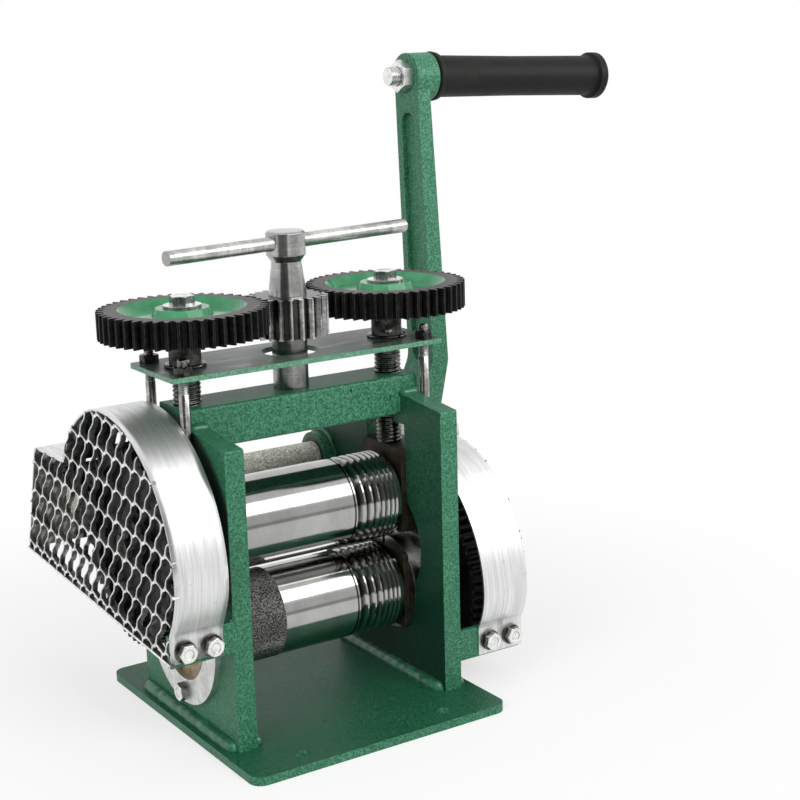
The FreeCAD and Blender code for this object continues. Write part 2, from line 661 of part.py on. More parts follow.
def roll_gear(axis_z, side, phase):
    """Cast gear with a recessed web on its outer face."""
    x0, x1 = DRIVE_GEAR_INNER_X, DRIVE_GEAR_OUTER_X
    gear = gear_x(0, axis_z, ROLL_GEAR_TEETH, phase, x0, x1)
    recess = rod_x(0, axis_z, GEAR_WEB_OUTER_R, x1 - 2 * GEAR_WEB_RECESS, x1 + 1)
    recess = recess.cut(rod_x(0, axis_z, GEAR_HUB_R, x1 - 3 * GEAR_WEB_RECESS, GEAR_HUB_FACE_X))
    gear = gear.cut(recess)
    gear = gear.cut(rod_x(0, axis_z, GEAR_SEAT_R + SEAT_CLEAR, x0 - 1, x1 + 1))
    gear = gear.cut(key_seat(0, axis_z, GEAR_SEAT_R, x0 - 1, x1 + 1, SEAT_CLEAR))
    return gear if side > 0 else other_side(gear)


# ---- roll drive ----

def drive_phases():
    """Tooth phases at rest: cross shaft pinions, upper gear, idler, lower gear."""
    pinion = math.pi / 2
    to_upper = math.atan2(UPPER_ROLL_Z - CROSS_SHAFT_Z, -CROSS_SHAFT_Y)
    idler_y, idler_z = idler_centre()
    to_idler = math.atan2(idler_z - CROSS_SHAFT_Z, idler_y - CROSS_SHAFT_Y)
    to_lower = math.atan2(LOWER_ROLL_Z - idler_z, -idler_y)
    upper = mesh_phase(DRIVE_PINION_TEETH, pinion, to_upper, ROLL_GEAR_TEETH)
    idler = mesh_phase(DRIVE_PINION_TEETH, pinion, to_idler, DRIVE_PINION_TEETH)
    lower = mesh_phase(DRIVE_PINION_TEETH, idler, to_lower, ROLL_GEAR_TEETH)
    return pinion, upper, idler, lower


def idler_centre():
    """Point at gear distance from both the cross shaft and the lower roll."""
    dy = -CROSS_SHAFT_Y
    dz = LOWER_ROLL_Z - CROSS_SHAFT_Z
    span = math.hypot(dy, dz)
    along = (span ** 2 + IDLER_CENTRES ** 2 - ROLL_GEAR_CENTRES ** 2) / (2 * span)
    aside = math.sqrt(IDLER_CENTRES ** 2 - along ** 2)
    y = CROSS_SHAFT_Y + (along * dy - aside * dz) / span
    z = CROSS_SHAFT_Z + (along * dz + aside * dy) / span
    return y, z


def cross_shaft():
    y, z = CROSS_SHAFT_Y, CROSS_SHAFT_Z
    shaft = rod_x(y, z, CROSS_SHAFT_R, CROSS_SHAFT_LEFT_END_X, HUB_OUTER_X)
    shaft = shaft.fuse(rod_x(y, z, CRANK_SHAFT_THREAD_R, HUB_OUTER_X, CRANK_SHAFT_END_X)).removeSplitter()
    for side in (-1, 1):
        shaft = shaft.cut(pinion_key(side, SEAT_CLEAR))
    return shaft.cut(crank_key(SEAT_CLEAR))


def pinion_key(side, clear):
    x0, x1 = DRIVE_GEAR_INNER_X + 1, DRIVE_GEAR_OUTER_X - 1
    key = key_seat(CROSS_SHAFT_Y, CROSS_SHAFT_Z, CROSS_SHAFT_R, x0, x1, clear)
    return key if side > 0 else other_side(key)


def crank_key(clear):
    return key_seat(CROSS_SHAFT_Y, CROSS_SHAFT_Z, CROSS_SHAFT_R, HUB_INNER_X + 1, HUB_OUTER_X - 1, clear)


def drive_pinion(side, phase):
    y, z = CROSS_SHAFT_Y, CROSS_SHAFT_Z
    x0, x1 = DRIVE_GEAR_INNER_X, DRIVE_GEAR_OUTER_X
    pinion = gear_x(y, z, DRIVE_PINION_TEETH, phase, x0, x1)
    pinion = pinion.fuse(rod_x(y, z, PINION_HUB_R, x0 - PINION_HUB_LENGTH, x0))
    pinion = pinion.cut(rod_x(y, z, CROSS_SHAFT_R + SEAT_CLEAR, x0 - PINION_HUB_LENGTH - 1, x1 + 1))
    pinion = pinion.cut(key_seat(y, z, CROSS_SHAFT_R, x0 + 1, x1 + 1, SEAT_CLEAR))
    pinion = pinion.cut(pinion_screw(1, SEAT_CLEAR))
    return pinion if side > 0 else other_side(pinion)


def pinion_screw(side, clear):
    x = DRIVE_GEAR_INNER_X - PINION_HUB_LENGTH / 2
    tip = CROSS_SHAFT_Z + CROSS_SHAFT_R + FACE_CLEAR
    top = CROSS_SHAFT_Z + PINION_HUB_R
    screw = rod_z(x, CROSS_SHAFT_Y, PINION_SCREW_R + clear, tip - clear, top + clear)
    return screw if side > 0 else other_side(screw)


def shaft_boss():
    y, z = CROSS_SHAFT_Y, CROSS_SHAFT_Z
    x0, x1 = FRAME_INNER_X - SHAFT_BOSS_INSIDE, FRAME_OUTER_X + SHAFT_BOSS_OUTSIDE
    boss = rod_x(y, z, SHAFT_BOSS_R, x0, x1)
    return boss.cut(rod_x(y, z, CROSS_SHAFT_R + SHAFT_BUSH_WALL + SEAT_CLEAR, x0 - 1, x1 + 1))


def shaft_bush():
    y, z = CROSS_SHAFT_Y, CROSS_SHAFT_Z
    x0, x1 = FRAME_INNER_X - SHAFT_BOSS_INSIDE, FRAME_OUTER_X + SHAFT_BOSS_OUTSIDE
    bush = rod_x(y, z, CROSS_SHAFT_R + SHAFT_BUSH_WALL, x0, x1)
    return bush.cut(rod_x(y, z, CROSS_SHAFT_R + RUNNING_CLEAR, x0 - 1, x1 + 1))


def idler_stud():
    y, z = idler_centre()
    x0, x1 = DRIVE_GEAR_INNER_X, DRIVE_GEAR_OUTER_X
    stud = rod_x(y, z, IDLER_STUD_SHOULDER_R, FRAME_OUTER_X, x0)
    stud = stud.fuse(rod_x(y, z, IDLER_JOURNAL_R, x0, x1))
    stud = stud.fuse(rod_x(y, z, IDLER_THREAD_R, FRAME_INNER_X - 14, FRAME_OUTER_X)).removeSplitter()
    return stud.cut(rod_x(y, z, M6_HEX[2] + SEAT_CLEAR, x1 - 14, x1 + 1))


def idler_stud_hole():
    y, z = idler_centre()
    return rod_x(y, z, IDLER_THREAD_R + SEAT_CLEAR, FRAME_INNER_X - 1, FRAME_OUTER_X + 1)


def idler_fasteners():
    """Nut and washer inside the frame, washer and bolt on the stud's outer end."""
    y, z = idler_centre()
    flats, height, shank = M12_NUT
    x = FRAME_INNER_X
    washer = rod_x(y, z, 12, x - WASHER_THICK, x).cut(rod_x(y, z, shank + 0.1, x - 5, x + 1))
    x -= WASHER_THICK
    nut = hex_x(y, z, flats, x - height, x).cut(rod_x(y, z, shank + SEAT_CLEAR, x - 20, x + 1))
    x = DRIVE_GEAR_OUTER_X
    cap = rod_x(y, z, 12, x, x + WASHER_THICK).cut(rod_x(y, z, M6_HEX[2] + 0.1, x - 1, x + 5))
    x += WASHER_THICK
    bolt = hex_x(y, z, M6_HEX[0], x, x + M6_HEX[1]).fuse(rod_x(y, z, M6_HEX[2], x - 15, x))
    return [washer, nut, cap, bolt]


def idler_gear(phase):
    y, z = idler_centre()
    x0 = DRIVE_GEAR_INNER_X + FACE_CLEAR
    x1 = DRIVE_GEAR_OUTER_X - FACE_CLEAR
    gear = gear_x(y, z, DRIVE_PINION_TEETH, phase, x0, x1)
    return gear.cut(rod_x(y, z, IDLER_JOURNAL_R + RUNNING_CLEAR, x0 - 1, x1 + 1))


# ---- crank ----

def arm_outline(half_low, half_high, low, high):
    """Tapered strip along the arm between two distances from the shaft axis."""
    lean_y = GRIP_AXIS_Y - CROSS_SHAFT_Y
    lean_z = GRIP_AXIS_Z - CROSS_SHAFT_Z
    length = math.hypot(lean_y, lean_z)
    along = FreeCAD.Vector(lean_y / length, lean_z / length, 0)
    across = FreeCAD.Vector(along.y, -along.x, 0)
    start = FreeCAD.Vector(CROSS_SHAFT_Y, CROSS_SHAFT_Z, 0)
    corners = []
    for reach, half in ((low, half_low), (low, -half_low), (high, -half_high), (high, half_high)):
        point = start + along * reach + across * half
        corners.append((point.x, point.y))
    return corners


def crank_arm():
    """I-section arm with a set-in hub and an eye for the grip."""
    length = math.hypot(GRIP_AXIS_Y - CROSS_SHAFT_Y, GRIP_AXIS_Z - CROSS_SHAFT_Z)
    strip = [(y, z, 0) for y, z in arm_outline(ARM_LOW_HALF_WIDTH, ARM_HIGH_HALF_WIDTH, 0, length)]
    front = slab_x(strip, HUB_INNER_X - 5, GRIP_EYE_OUTER_X + 5)
    side = [
        (HUB_INNER_X, CROSS_SHAFT_Z - 5, 0),
        (HUB_INNER_X, ARM_BEND_LOW_Z - 8, 6),
        (ARM_INNER_X, ARM_BEND_HIGH_Z, 20),
        (ARM_INNER_X, GRIP_AXIS_Z + 20, 0),
        (ARM_OUTER_HIGH_X, GRIP_AXIS_Z + 20, 0),
        (ARM_OUTER_LOW_X, ARM_BEND_HIGH_Z, 20),
        (HUB_OUTER_X, ARM_BEND_LOW_Z, 10),
        (HUB_OUTER_X, CROSS_SHAFT_Z - 5, 0),
    ]
    arm = front.common(slab_y(side, CROSS_SHAFT_Y - 50, GRIP_AXIS_Y + 50))
    arm = arm.fuse(rod_x(CROSS_SHAFT_Y, CROSS_SHAFT_Z, HUB_R, HUB_INNER_X, HUB_OUTER_X))
    arm = arm.fuse(rod_x(GRIP_AXIS_Y, GRIP_AXIS_Z, GRIP_EYE_R, ARM_INNER_X, GRIP_EYE_OUTER_X))
    low = ARM_POCKET_BOTTOM_Z - CROSS_SHAFT_Z
    high = ARM_POCKET_TOP_Z - CROSS_SHAFT_Z
    half_low = ARM_LOW_HALF_WIDTH - ARM_RIB
    half_high = ARM_HIGH_HALF_WIDTH - ARM_RIB
    pocket = [(y, z, half_high - 0.6) for y, z in arm_outline(half_low, half_high, low, high)]
    arm = arm.cut(slab_x(pocket, ARM_INNER_X - 5, ARM_INNER_X + ARM_POCKET_DEPTH))
    arm = arm.cut(slab_x(pocket, ARM_OUTER_HIGH_X - ARM_POCKET_DEPTH, ARM_OUTER_LOW_X + 5))
    x0, x1 = HUB_INNER_X - 1, HUB_OUTER_X + 1
    arm = arm.cut(rod_x(CROSS_SHAFT_Y, CROSS_SHAFT_Z, CROSS_SHAFT_R + SEAT_CLEAR, x0, x1))
    arm = arm.cut(key_seat(CROSS_SHAFT_Y, CROSS_SHAFT_Z, CROSS_SHAFT_R, x0, x1, SEAT_CLEAR))
    eye_hole_r = GRIP_THREAD_R + SEAT_CLEAR
    eye_hole = rod_x(GRIP_AXIS_Y, GRIP_AXIS_Z, eye_hole_r, ARM_INNER_X - 3, GRIP_EYE_OUTER_X + 3)
    arm = arm.cut(drooped(eye_hole))
    return arm.removeSplitter()


def hub_fasteners():
    flats, height, shank = M16_NUT
    y, z = CROSS_SHAFT_Y, CROSS_SHAFT_Z
    x = HUB_OUTER_X
    washer = rod_x(y, z, 15, x, x + 2).cut(rod_x(y, z, shank + 0.1, x - 1, x + 3))
    nut = hex_x(y, z, flats, x + 2, x + 2 + height).cut(rod_x(y, z, shank + SEAT_CLEAR, x, x + 20))
    return [washer, nut]


def drooped(shape):
    """The grip and its spindle hang a little below square from the arm's eye."""
    return shape.rotated(vec(GRIP_EYE_OUTER_X, GRIP_AXIS_Y, GRIP_AXIS_Z), vec(0, 1, 0), GRIP_DROOP)


def grip_spindle():
    y, z = GRIP_AXIS_Y, GRIP_AXIS_Z
    end = GRIP_END_X - GRIP_POCKET_LENGTH
    shoulder = GRIP_EYE_OUTER_X + GRIP_END_GAP / 2
    pin = rod_x(y, z, GRIP_THREAD_R, GRIP_THREAD_START_X, shoulder)
    pin = pin.fuse(rod_x(y, z, GRIP_SPINDLE_R, shoulder, end)).removeSplitter()
    return drooped(pin.cut(rod_x(y, z, M5_HEX[2] + SEAT_CLEAR, end - 12, end + 1)))


def grip_fasteners():
    """Lock nut inside the arm, and the washer and screw that hold the grip on."""
    y, z = GRIP_AXIS_Y, GRIP_AXIS_Z
    flats, height, shank = M12_NUT
    x = ARM_INNER_X - GRIP_END_GAP / 2
    nut = hex_x(y, z, flats, x - height, x).cut(rod_x(y, z, shank + SEAT_CLEAR, x - 20, x + 1))
    x = GRIP_END_X - GRIP_POCKET_LENGTH
    washer = rod_x(y, z, GRIP_POCKET_R - 0.6, x, x + 1.2).cut(rod_x(y, z, M5_HEX[2] + 0.1, x - 1, x + 3))
    screw = rod_x(y, z, M5_HEX[0] / 2, x + 1.2, x + 1.2 + 2.8).fuse(rod_x(y, z, M5_HEX[2], x - 11, x + 1.2))
    return [drooped(piece) for piece in (nut, washer, screw)]


def grip_sleeve():
    """Moulded rubber grip: inner flange, slightly waisted body, rimmed end."""
    x0, x1 = GRIP_START_X, GRIP_END_X
    pocket_x = x1 - GRIP_POCKET_LENGTH - 0.2
    bore = GRIP_SPINDLE_R + GRIP_BORE_CLEAR
    end_x = x1 - GRIP_END_LENGTH
    profile = [
        (x0, bore), (x0, GRIP_FLANGE_R - 1), (x0 + 1, GRIP_FLANGE_R),
        (x0 + GRIP_FLANGE_THICK, GRIP_FLANGE_R - 0.6), (x0 + GRIP_FLANGE_THICK + 1, GRIP_R),
        ((x0 + end_x) / 2, GRIP_WAIST_R), (end_x - 1.5, GRIP_R),
        (end_x, GRIP_END_R), (x1 - 1.5, GRIP_END_R), (x1, GRIP_END_R - 1.5),
        (x1, GRIP_POCKET_R), (pocket_x, GRIP_POCKET_R), (pocket_x, bore),
    ]
    points = [vec(x, GRIP_AXIS_Y, GRIP_AXIS_Z + r) for x, r in profile]
    return drooped(turned(points, vec(0, GRIP_AXIS_Y, GRIP_AXIS_Z), vec(1, 0, 0)))


# ---- roll adjustment ----

def lift_plate():
    half_x, half_y = LIFT_PLATE_HALF_X, LIFT_PLATE_HALF_Y
    corners = [(-half_x, -half_y, 2), (half_x, -half_y, 2), (half_x, half_y, 2), (-half_x, half_y, 2)]
    z0, z1 = LIFT_PLATE_BOTTOM_Z, LIFT_PLATE_TOP_Z
    plate = slab_z(corners, z0, z1)
    plate = plate.cut(rod_z(0, 0, SPINDLE_HOLE_R, z0 - 1, z1 + 1))
    for x in (-SCREW_X, SCREW_X):
        plate = plate.cut(rod_z(x, 0, SCREW_NECK_R + 2 * RUNNING_CLEAR, z0 - 1, z1 + 1))
    for x, y in lift_rod_places():
        plate = plate.cut(rod_z(x, y, LIFT_ROD_R + SEAT_CLEAR, z0 - 1, z1 + 1))
    return plate


def lift_rod_places():
    return [(x, y) for x in (-LIFT_ROD_X, LIFT_ROD_X) for y in (-LIFT_ROD_Y, LIFT_ROD_Y)]


def lift_rods():
    z0 = lift_bar_middle_z() - LIFT_BAR_HEIGHT / 2
    return [rod_z(x, y, LIFT_ROD_R, z0, LIFT_PLATE_TOP_Z + LIFT_ROD_ABOVE) for x, y in lift_rod_places()]


def lift_rod_nuts():
    """A nut above the plate on each rod."""
    flats, height, shank = M6_HEX[0], 5.0, LIFT_ROD_R
    nuts = []
    for x, y in lift_rod_places():
        z = LIFT_PLATE_TOP_Z
        nut = hex_z(x, y, flats, z, z + height)
        nuts.append(nut.cut(rod_z(x, y, shank + SEAT_CLEAR, z - 1, z + height + 1)))
    return nuts


def lift_bar():
    """Cross bar bolted on the outside of the right-hand sliding block."""
    middle = lift_bar_middle_z()
    z0, z1 = middle - LIFT_BAR_HEIGHT / 2, middle + LIFT_BAR_HEIGHT / 2
    half = LIFT_BAR_HALF_LENGTH
    corners = [(-half, z0, 3), (half, z0, 3), (half, z1, 3), (-half, z1, 3)]
    x0 = FRAME_OUTER_X + 0.5
    bar = slab_x(corners, x0, x0 + LIFT_BAR_THICK)
    for y in (-LIFT_ROD_Y, LIFT_ROD_Y):
        bar = bar.cut(rod_z(LIFT_ROD_X, y, LIFT_ROD_R + SEAT_CLEAR, z0 - 1, z1 + 1))
    for y in (-LIFT_BAR_BOLT_Y, LIFT_BAR_BOLT_Y):
        bar = bar.cut(rod_x(y, middle, M5_HEX[2] + SEAT_CLEAR, x0 - 1, x0 + LIFT_BAR_THICK + 1))
    return bar


def lift_bar_bolts():
    flats, height, shank = M5_HEX
    x = FRAME_OUTER_X + 0.5 + LIFT_BAR_THICK
    bolts = []
    for y in (-LIFT_BAR_BOLT_Y, LIFT_BAR_BOLT_Y):
        bolt = hex_x(y, lift_bar_middle_z(), flats, x, x + height)
        bolts.append(bolt.fuse(rod_x(y, lift_bar_middle_z(), shank, x - LIFT_BAR_THICK - 8, x)))
    return bolts + [other_side(bolt) for bolt in bolts]


def pressure_screw(x):
    top = SCREW_GEAR_TOP_Z - 0.6
    shoulder = LIFT_PLATE_BOTTOM_Z - FACE_CLEAR
    screw = rod_z(x, 0, SCREW_R, UPPER_BLOCK_TOP_Z + FACE_CLEAR, shoulder)
    screw = screw.fuse(rod_z(x, 0, SCREW_NECK_R, shoulder, top)).removeSplitter()
    return screw.cut(rod_z(x, 0, M8_HEX[2] + SEAT_CLEAR, top - 16, top + 1))


def snap_ring(x):
    z = LIFT_PLATE_TOP_Z + FACE_CLEAR
    ring = rod_z(x, 0, SNAP_RING_R, z, z + SNAP_RING_THICK)
    return ring.cut(rod_z(x, 0, SCREW_NECK_R + SEAT_CLEAR, z - 1, z + SNAP_RING_THICK + 1))


def screw_gear(x, phase):
    """Gear with a dished top web, a coned boss and a long sleeve below."""
    z0, z1 = SCREW_GEAR_BOTTOM_Z, SCREW_GEAR_TOP_Z
    gear = gear_z(x, 0, SCREW_GEAR_TEETH, phase, z0, z1)
    floor = z1 - SCREW_GEAR_RECESS
    dish = Part.makeCone(SCREW_GEAR_RECESS_FLOOR_R, SCREW_GEAR_RECESS_R, SCREW_GEAR_RECESS, vec(x, 0, floor))
    boss = Part.makeCone(SCREW_GEAR_BOSS_BASE_R, SCREW_GEAR_BOSS_TOP_R, SCREW_GEAR_RECESS, vec(x, 0, floor))
    gear = gear.cut(dish.cut(boss))
    sleeve_z = LIFT_PLATE_TOP_Z + FACE_CLEAR + SNAP_RING_THICK
    gear = gear.fuse(rod_z(x, 0, SCREW_GEAR_SLEEVE_R, sleeve_z, z0))
    return gear.cut(rod_z(x, 0, SCREW_NECK_R + SEAT_CLEAR, sleeve_z - 1, z1 + 1))


def screw_gear_washer(x):
    z = SCREW_GEAR_TOP_Z
    return rod_z(x, 0, 11.2, z, z + WASHER_THICK).cut(rod_z(x, 0, M8_HEX[2] + 0.3, z - 1, z + 3))


def screw_gear_bolt(x):
    flats, height, shank = M8_HEX
    z = SCREW_GEAR_TOP_Z + WASHER_THICK
    return hex_z(x, 0, flats, z, z + height).fuse(rod_z(x, 0, shank, z - 16, z))


# ---- tee handle ----

def spindle_post():
    post = rod_z(0, 0, POST_R, BEAM_TOP_Z - POST_SOCKET_DEPTH + FACE_CLEAR, SPINDLE_PINION_BOTTOM_Z)
    post = post.fuse(rod_z(0, 0, PINION_SEAT_R, SPINDLE_PINION_BOTTOM_Z, SPINDLE_PINION_TOP_Z))
    spigot_top = SPINDLE_PINION_TOP_Z + TEE_SPIGOT_LENGTH
    return post.fuse(rod_z(0, 0, TEE_SPIGOT_R, SPINDLE_PINION_TOP_Z, spigot_top)).removeSplitter()


def spindle_pinion(phase):
    z0, z1 = SPINDLE_PINION_BOTTOM_Z, SPINDLE_PINION_TOP_Z
    pinion = gear_z(0, 0, SPINDLE_PINION_TEETH, phase, z0, z1)
    return pinion.cut(rod_z(0, 0, PINION_SEAT_R + SEAT_CLEAR, z0 - 1, z1 + 1))


def tee_head():
    z = SPINDLE_PINION_TOP_Z
    socket_r = TEE_SPIGOT_R + SEAT_CLEAR
    socket_top = z + TEE_SPIGOT_LENGTH + SEAT_CLEAR
    profile = [
        (socket_r, z), (TEE_CONE_BASE_R, z),
        (TEE_CONE_TOP_R, TEE_HEAD_BOTTOM_Z), (TEE_HEAD_R, TEE_HEAD_SHOULDER_Z),
        (TEE_HEAD_R, TEE_HEAD_TOP_Z - 1), (TEE_HEAD_R - 1, TEE_HEAD_TOP_Z),
        (0, TEE_HEAD_TOP_Z), (0, socket_top), (socket_r, socket_top),
    ]
    head = turned([vec(r, 0, height) for r, height in profile], vec(0, 0, 0), vec(0, 0, 1))
    return head.cut(tommy_bar_shape(TOMMY_BAR_R + SEAT_CLEAR))


def tommy_bar_shape(radius):
    turn = math.radians(TOMMY_BAR_TURN)
    along = vec(math.cos(turn), math.sin(turn), 0)
    start = vec(0, 0, TOMMY_BAR_Z) - along * (TOMMY_BAR_LENGTH / 2 - TOMMY_BAR_OFF_CENTRE)
    return Part.makeCylinder(radius, TOMMY_BAR_LENGTH, start, along)


# ---- guards ----

def arch_point(center_y, center_z, radius, degrees):
    turn = math.radians(degrees)
    return (center_y + radius * math.cos(turn), center_z + radius * math.sin(turn), 0)


def arch_corners(center_y, center_z, radius, first, last, steps):
    """Corners whose rounded ends join into one arc, from first to last degrees."""
    half = (first - last) / steps / 2
    reach = radius / math.cos(math.radians(half))
    corners = []
    for step in range(steps):
        y, z, _ = arch_point(center_y, center_z, reach, first - half * (2 * step + 1))
        corners.append((y, z, radius))
    return corners


def front_corner(bend, center_y, center_z):
    """Corner between the straight front and the arch, rounded to run into the arch."""
    y, z, _ = arch_point(center_y, center_z, GUARD_ARCH_R, ARCH_START)
    turn = math.radians(ARCH_START)
    tangent = FreeCAD.Vector(math.sin(turn), -math.cos(turn), 0)
    corner = FreeCAD.Vector(y, z, 0) - tangent * FRONT_CORNER_DROP
    rise = corner - FreeCAD.Vector(bend[0], bend[1], 0)
    radius = FRONT_CORNER_DROP / math.tan(angle_between(rise, tangent) / 2)
    return (corner.x, corner.y, radius)


def roof_turn():
    """Degrees at which one straight line touches both the right arch and the lobe."""
    along_y = CROSS_SHAFT_Y - RIGHT_ARCH_Y
    along_z = CROSS_SHAFT_Z - RIGHT_ARCH_Z
    spread = math.acos((GUARD_ARCH_R - RIGHT_LOBE_R) / math.hypot(along_y, along_z))
    return math.degrees(math.atan2(along_z, along_y) + spread)


def lobe_end():
    """Degrees at which the lobe runs on straight into the guard's rear edge."""
    along_y = RIGHT_TAIL_TOP[0] - CROSS_SHAFT_Y
    along_z = RIGHT_TAIL_TOP[1] - CROSS_SHAFT_Z
    spread = math.acos(RIGHT_LOBE_R / math.hypot(along_y, along_z))
    return math.degrees(math.atan2(along_z, along_y) + spread)


def left_guard_outline():
    """(y, z, radius) outline of the left guard: an arch with a tail over the pinion."""
    front_y = FRAME_FRONT_Y - BAND_THICK
    bend = (front_y, LEFT_BEND_Z, BAND_BEND_R)
    points = [(front_y, LEFT_TAB_BOTTOM_Z + 1, 0), bend, front_corner(bend, LEFT_ARCH_Y, LEFT_ARCH_Z)]
    arch = (LEFT_ARCH_Y, LEFT_ARCH_Z, GUARD_ARCH_R)
    points += arch_corners(*arch, ARCH_START, LEFT_ARCH_END, LEFT_ARCH_STEPS)
    points.append(arch_point(*arch, LEFT_ARCH_END))
    return points + [LEFT_TAIL_TOP, LEFT_TAIL_TIP]


def right_guard_outline():
    """(y, z, radius) outline of the right guard: an arch that rises over the cross shaft."""
    front_y = FRAME_FRONT_Y - BAND_THICK
    bend = (front_y, RIGHT_BEND_Z, BAND_BEND_R)
    roof = roof_turn()
    points = [(front_y, RIGHT_TAB_BOTTOM_Z + 1, 0), bend, front_corner(bend, RIGHT_ARCH_Y, RIGHT_ARCH_Z)]
    arch = (RIGHT_ARCH_Y, RIGHT_ARCH_Z, GUARD_ARCH_R)
    lobe = (CROSS_SHAFT_Y, CROSS_SHAFT_Z, RIGHT_LOBE_R)
    points += arch_corners(*arch, ARCH_START, roof, RIGHT_ARCH_STEPS)
    points += arch_corners(*lobe, roof, lobe_end(), RIGHT_LOBE_STEPS)
    return points + [RIGHT_TAIL_TOP, RIGHT_TAIL_TIP]


def inset_outline(outline, distance):
    """The clockwise outline moved inwards by a distance, rounded corners kept parallel."""
    corners = []
    for i in range(len(outline)):
        y, z, radius = outline[i]
        before = outline[i - 1]
        after = outline[(i + 1) % len(outline)]
        back = FreeCAD.Vector(y - before[0], z - before[1], 0).normalize()
        ahead = FreeCAD.Vector(after[0] - y, after[1] - z, 0).normalize()
        inward = FreeCAD.Vector(back.y + ahead.y, -back.x - ahead.x, 0)
        shift = inward * (distance / (1 + back.dot(ahead)))
        hollow = back.x * ahead.y > back.y * ahead.x
        if radius > 0:
            radius += distance if hollow else -distance
        corners.append((y + shift.x, z + shift.y, radius))
    return corners


def guard_band(outline, x0, x1):
    """Sheet strip bent to the outline, open along the outline's last side."""
    band = slab_x(outline, x0, x1).cut(slab_x(inset_outline(outline, BAND_THICK), x0, x1))
    first, last = outline[0], outline[-1]
    before = outline[-2]
    wall = FreeCAD.Vector(last[0] - before[0], last[1] - before[1], 0).normalize()
    inset = FreeCAD.Vector(wall.y, -wall.x, 0) * BAND_THICK
    lift = 2 * BAND_THICK
    opening = [
        (first[0] + BAND_THICK, first[1] + lift, 0),
        (last[0] + inset.x - lift * wall.x, last[1] + inset.y - lift * wall.y, 0),
        (last[0] + inset.x + 6 * wall.x, last[1] + inset.y + 6 * wall.y, 0),
        (first[0] + BAND_THICK, first[1] - 6, 0),
    ]
    return band.cut(slab_x(opening, x0 - 1, x1 + 1))


def guard_mesh(outline, x0, x1):
    """Expanded-metal panel: a sheet with staggered diamond openings."""
    panel = slab_x(outline, x0, x1)
    inner = Part.Face(rounded_wire(inset_outline(outline, MESH_RIM), lambda p: vec(x0, p.x, p.y)))
    bounds = inner.BoundBox
    rows = int((bounds.ZMax - bounds.ZMin) / (MESH_PITCH_Z / 2)) + 1
    columns = int((bounds.YMax - bounds.YMin) / MESH_PITCH_Y) + 1
    width, height = MESH_HALF_WIDTH, MESH_HALF_HEIGHT
    tips = ((width, 0), (0, height), (-width, 0), (0, -height))
    holes = []
    for row in range(rows):
        for column in range(columns):
            y = bounds.YMin + (column + 0.5 * (row % 2)) * MESH_PITCH_Y
            z = bounds.ZMin + row * MESH_PITCH_Z / 2
            if all(inner.isInside(vec(x0, y + a, z + b), 1e-3, True) for a, b in tips):
                corners = [(y + a, z + b, 0) for a, b in tips]
                holes.append(slab_x(corners, x0 - 1, x1 + 1))
    return panel.cut(Part.makeCompound(holes))


def front_tab(x_side, outer_x, bottom_z):
    """Tapped strip welded to the frame, that the band's front end is bolted to."""
    y0 = FRAME_FRONT_Y
    corners = [
        (FRAME_OUTER_X, bottom_z, 0), (outer_x, bottom_z, 2),
        (outer_x, bottom_z + TAB_HEIGHT, 2), (FRAME_OUTER_X, bottom_z + TAB_HEIGHT, 0),
    ]
    tab = slab_y(corners, y0, y0 + TAB_THICK)
    z = bottom_z + TAB_HEIGHT / 2
    for x in front_bolt_places(outer_x):
        tab = tab.cut(rod_y(x, z, M6_HEX[2] + SEAT_CLEAR, y0 - 1, y0 + TAB_THICK + 1))
    return tab if x_side > 0 else other_side(tab)


def front_bolt_places(outer_x):
    return (outer_x - 8.5, outer_x - 25.0)


def front_bolts(x_side, outer_x, bottom_z):
    flats, height, shank = M6_HEX
    z = bottom_z + TAB_HEIGHT / 2
    y = FRAME_FRONT_Y - BAND_THICK
    back = FRAME_FRONT_Y + TAB_THICK
    pieces = []
    for x in front_bolt_places(outer_x):
        washer = rod_y(x, z, 6.5, y - WASHER_THICK, y).cut(rod_y(x, z, shank + 0.1, y - 3, y + 1))
        head = hex_y(x, z, flats, y - WASHER_THICK - height, y - WASHER_THICK)
        pieces += [washer, head.fuse(rod_y(x, z, shank, y - WASHER_THICK, back))]
    return pieces if x_side > 0 else [other_side(piece) for piece in pieces]


def band_bolt_holes(band, outer_x, bottom_z):
    z = bottom_z + TAB_HEIGHT / 2
    for x in front_bolt_places(outer_x):
        band = band.cut(rod_y(x, z, M6_HEX[2] + 0.2, FRAME_FRONT_Y - 3, FRAME_FRONT_Y + 1))
    return band


def rear_tab(outline, corner, reach, outer_x):
    """Strip under the roof that starts at this outline corner, welded to the frame's outer face."""
    here = FreeCAD.Vector(outline[corner][0], outline[corner][1], 0)
    ahead = FreeCAD.Vector(outline[corner + 1][0], outline[corner + 1][1], 0)
    slope = (ahead - here).normalize()
    under = FreeCAD.Vector(slope.y, -slope.x, 0)
    top = here + slope * reach + under * (BAND_THICK + REAR_TAB_CLEAR)
    corners = [top, top + slope * REAR_TAB_LENGTH]
    corners += [corners[1] + under * TAB_THICK, top + under * TAB_THICK]
    return slab_x([(c.x, c.y, 0) for c in corners], FRAME_OUTER_X, outer_x)


